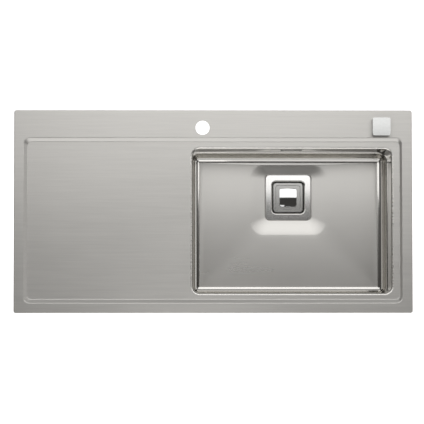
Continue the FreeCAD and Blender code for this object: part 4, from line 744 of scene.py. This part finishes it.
def make_floor():
    """Plain pale floor that shows white and keeps a soft shadow."""
    clear_selection()
    bpy.ops.mesh.primitive_plane_add(size=40, location=(0, 0, FLOOR_LEVEL))
    floor = bpy.context.object
    floor.name = "studio_floor"
    material, tree, shader = new_material("studio_floor")
    shader.inputs["Base Color"].default_value = (0.85, 0.85, 0.85, 1)
    shader.inputs["Roughness"].default_value = 0.9
    nodes, links = tree.nodes, tree.links
    path = nodes.new("ShaderNodeLightPath")
    seen = nodes.new("ShaderNodeMath")
    seen.operation = "MAXIMUM"
    links.new(path.outputs["Is Camera Ray"], seen.inputs[0])
    links.new(path.outputs["Is Glossy Ray"], seen.inputs[1])
    through = nodes.new("ShaderNodeMath")
    through.operation = "MAXIMUM"
    links.new(seen.outputs[0], through.inputs[0])
    links.new(path.outputs["Is Transmission Ray"], through.inputs[1])
    glow = nodes.new("ShaderNodeEmission")
    glow.inputs["Strength"].default_value = 1.0
    nothing = nodes.new("ShaderNodeEmission")
    nothing.inputs["Strength"].default_value = 0.0
    choose = nodes.new("ShaderNodeMixShader")
    links.new(through.outputs[0], choose.inputs["Fac"])
    links.new(nothing.outputs[0], choose.inputs[1])
    links.new(glow.outputs[0], choose.inputs[2])
    both = nodes.new("ShaderNodeAddShader")
    links.new(shader.outputs[0], both.inputs[0])
    links.new(choose.outputs[0], both.inputs[1])
    links.new(both.outputs[0], nodes["Material Output"].inputs["Surface"])
    floor.data.materials.append(material)


def make_world():
    """Studio surround: pale round the sides, dark overhead in front, where the camera hangs."""
    world = bpy.data.worlds.new("studio")
    world.use_nodes = True
    bpy.context.scene.world = world
    tree = world.node_tree
    nodes, links = tree.nodes, tree.links
    place = nodes.new("ShaderNodeTexCoord")
    split = nodes.new("ShaderNodeSeparateXYZ")
    links.new(place.outputs["Generated"], split.inputs[0])
    front = ramp(tree, split.outputs["Y"], -0.42, -0.30)
    middle = ramp(tree, split.outputs["Y"], 0.10, 0.02)
    high = ramp(tree, split.outputs["Z"], 0.45, 0.60)
    canopy = math_node(tree, "MULTIPLY", math_node(tree, "MULTIPLY", front, middle), high)
    beside = ramp(tree, math_node(tree, "ABSOLUTE", split.outputs["X"]), 0.50, 0.62)
    above = ramp(tree, split.outputs["Z"], 0.10, 0.25)
    shade = math_node(tree, "MAXIMUM", canopy, math_node(tree, "MULTIPLY", beside, above))
    light = nodes.new("ShaderNodeMix")
    light.data_type = "RGBA"
    light.inputs["A"].default_value = (0.45, 0.45, 0.45, 1)
    light.inputs["B"].default_value = (0.05, 0.048, 0.045, 1)
    links.new(shade, light.inputs["Factor"])
    links.new(light.outputs["Result"], nodes["Background"].inputs["Color"])
    nodes["Background"].inputs["Strength"].default_value = 1.0


def make_lamp(name, at, toward, length, width, radiance):
    """A rectangular softbox that the camera doesn't see; radiance is its brightness in a mirror."""
    data = bpy.data.lights.new(name, "AREA")
    data.shape = "RECTANGLE"
    data.size = length
    data.size_y = width
    data.energy = radiance * math.pi * length * width
    lamp = bpy.data.objects.new(name, data)
    lamp.location = at
    lamp.rotation_euler = (Vector(toward) - Vector(at)).to_track_quat("-Z", "Y").to_euler()
    lamp.visible_camera = False
    bpy.context.scene.collection.objects.link(lamp)


def make_lamps():
    """One near softbox over the back of the bowl and far ones low on three sides."""
    make_lamp("overhead", (0.10, 0.615, 1.6), (0.10, 0.615, 0), 1.8, 0.90, 1.12)
    make_lamp("camera_side", (0.12, -0.95, 1.6), (0.12, -0.95, 0), 1.0, 0.8, 0.6)
    make_lamp("drainboard_side", (-0.06, -0.40, 0.9), (-0.06, -0.40, 0), 0.25, 0.30, 0.9)
    make_lamp("front", (0, -3.0, 1.3), (0, 0, -0.1), 4.0, 1.6, 0.9)
    make_lamp("left", (-3.0, 0.4, 1.3), (0, 0, -0.1), 3.0, 1.4, 0.30)
    make_lamp("right", (3.0, 0.4, 1.3), (0, 0, -0.1), 3.0, 1.4, 0.85)


def make_camera():
    """Looks down on the sink from just in front of its middle."""
    data = bpy.data.cameras.new("camera")
    data.lens = 196.67
    data.sensor_width = 36
    camera = bpy.data.objects.new("camera", data)
    camera.location = (-0.0936, -0.3236, 5.8013)
    camera.rotation_euler = [math.radians(angle) for angle in (3.181, -0.890, -0.036)]
    bpy.context.scene.collection.objects.link(camera)
    bpy.context.scene.camera = camera


make_floor()
make_world()
make_lamps()
make_camera()
bpy.context.scene.view_settings.view_transform = "Standard"
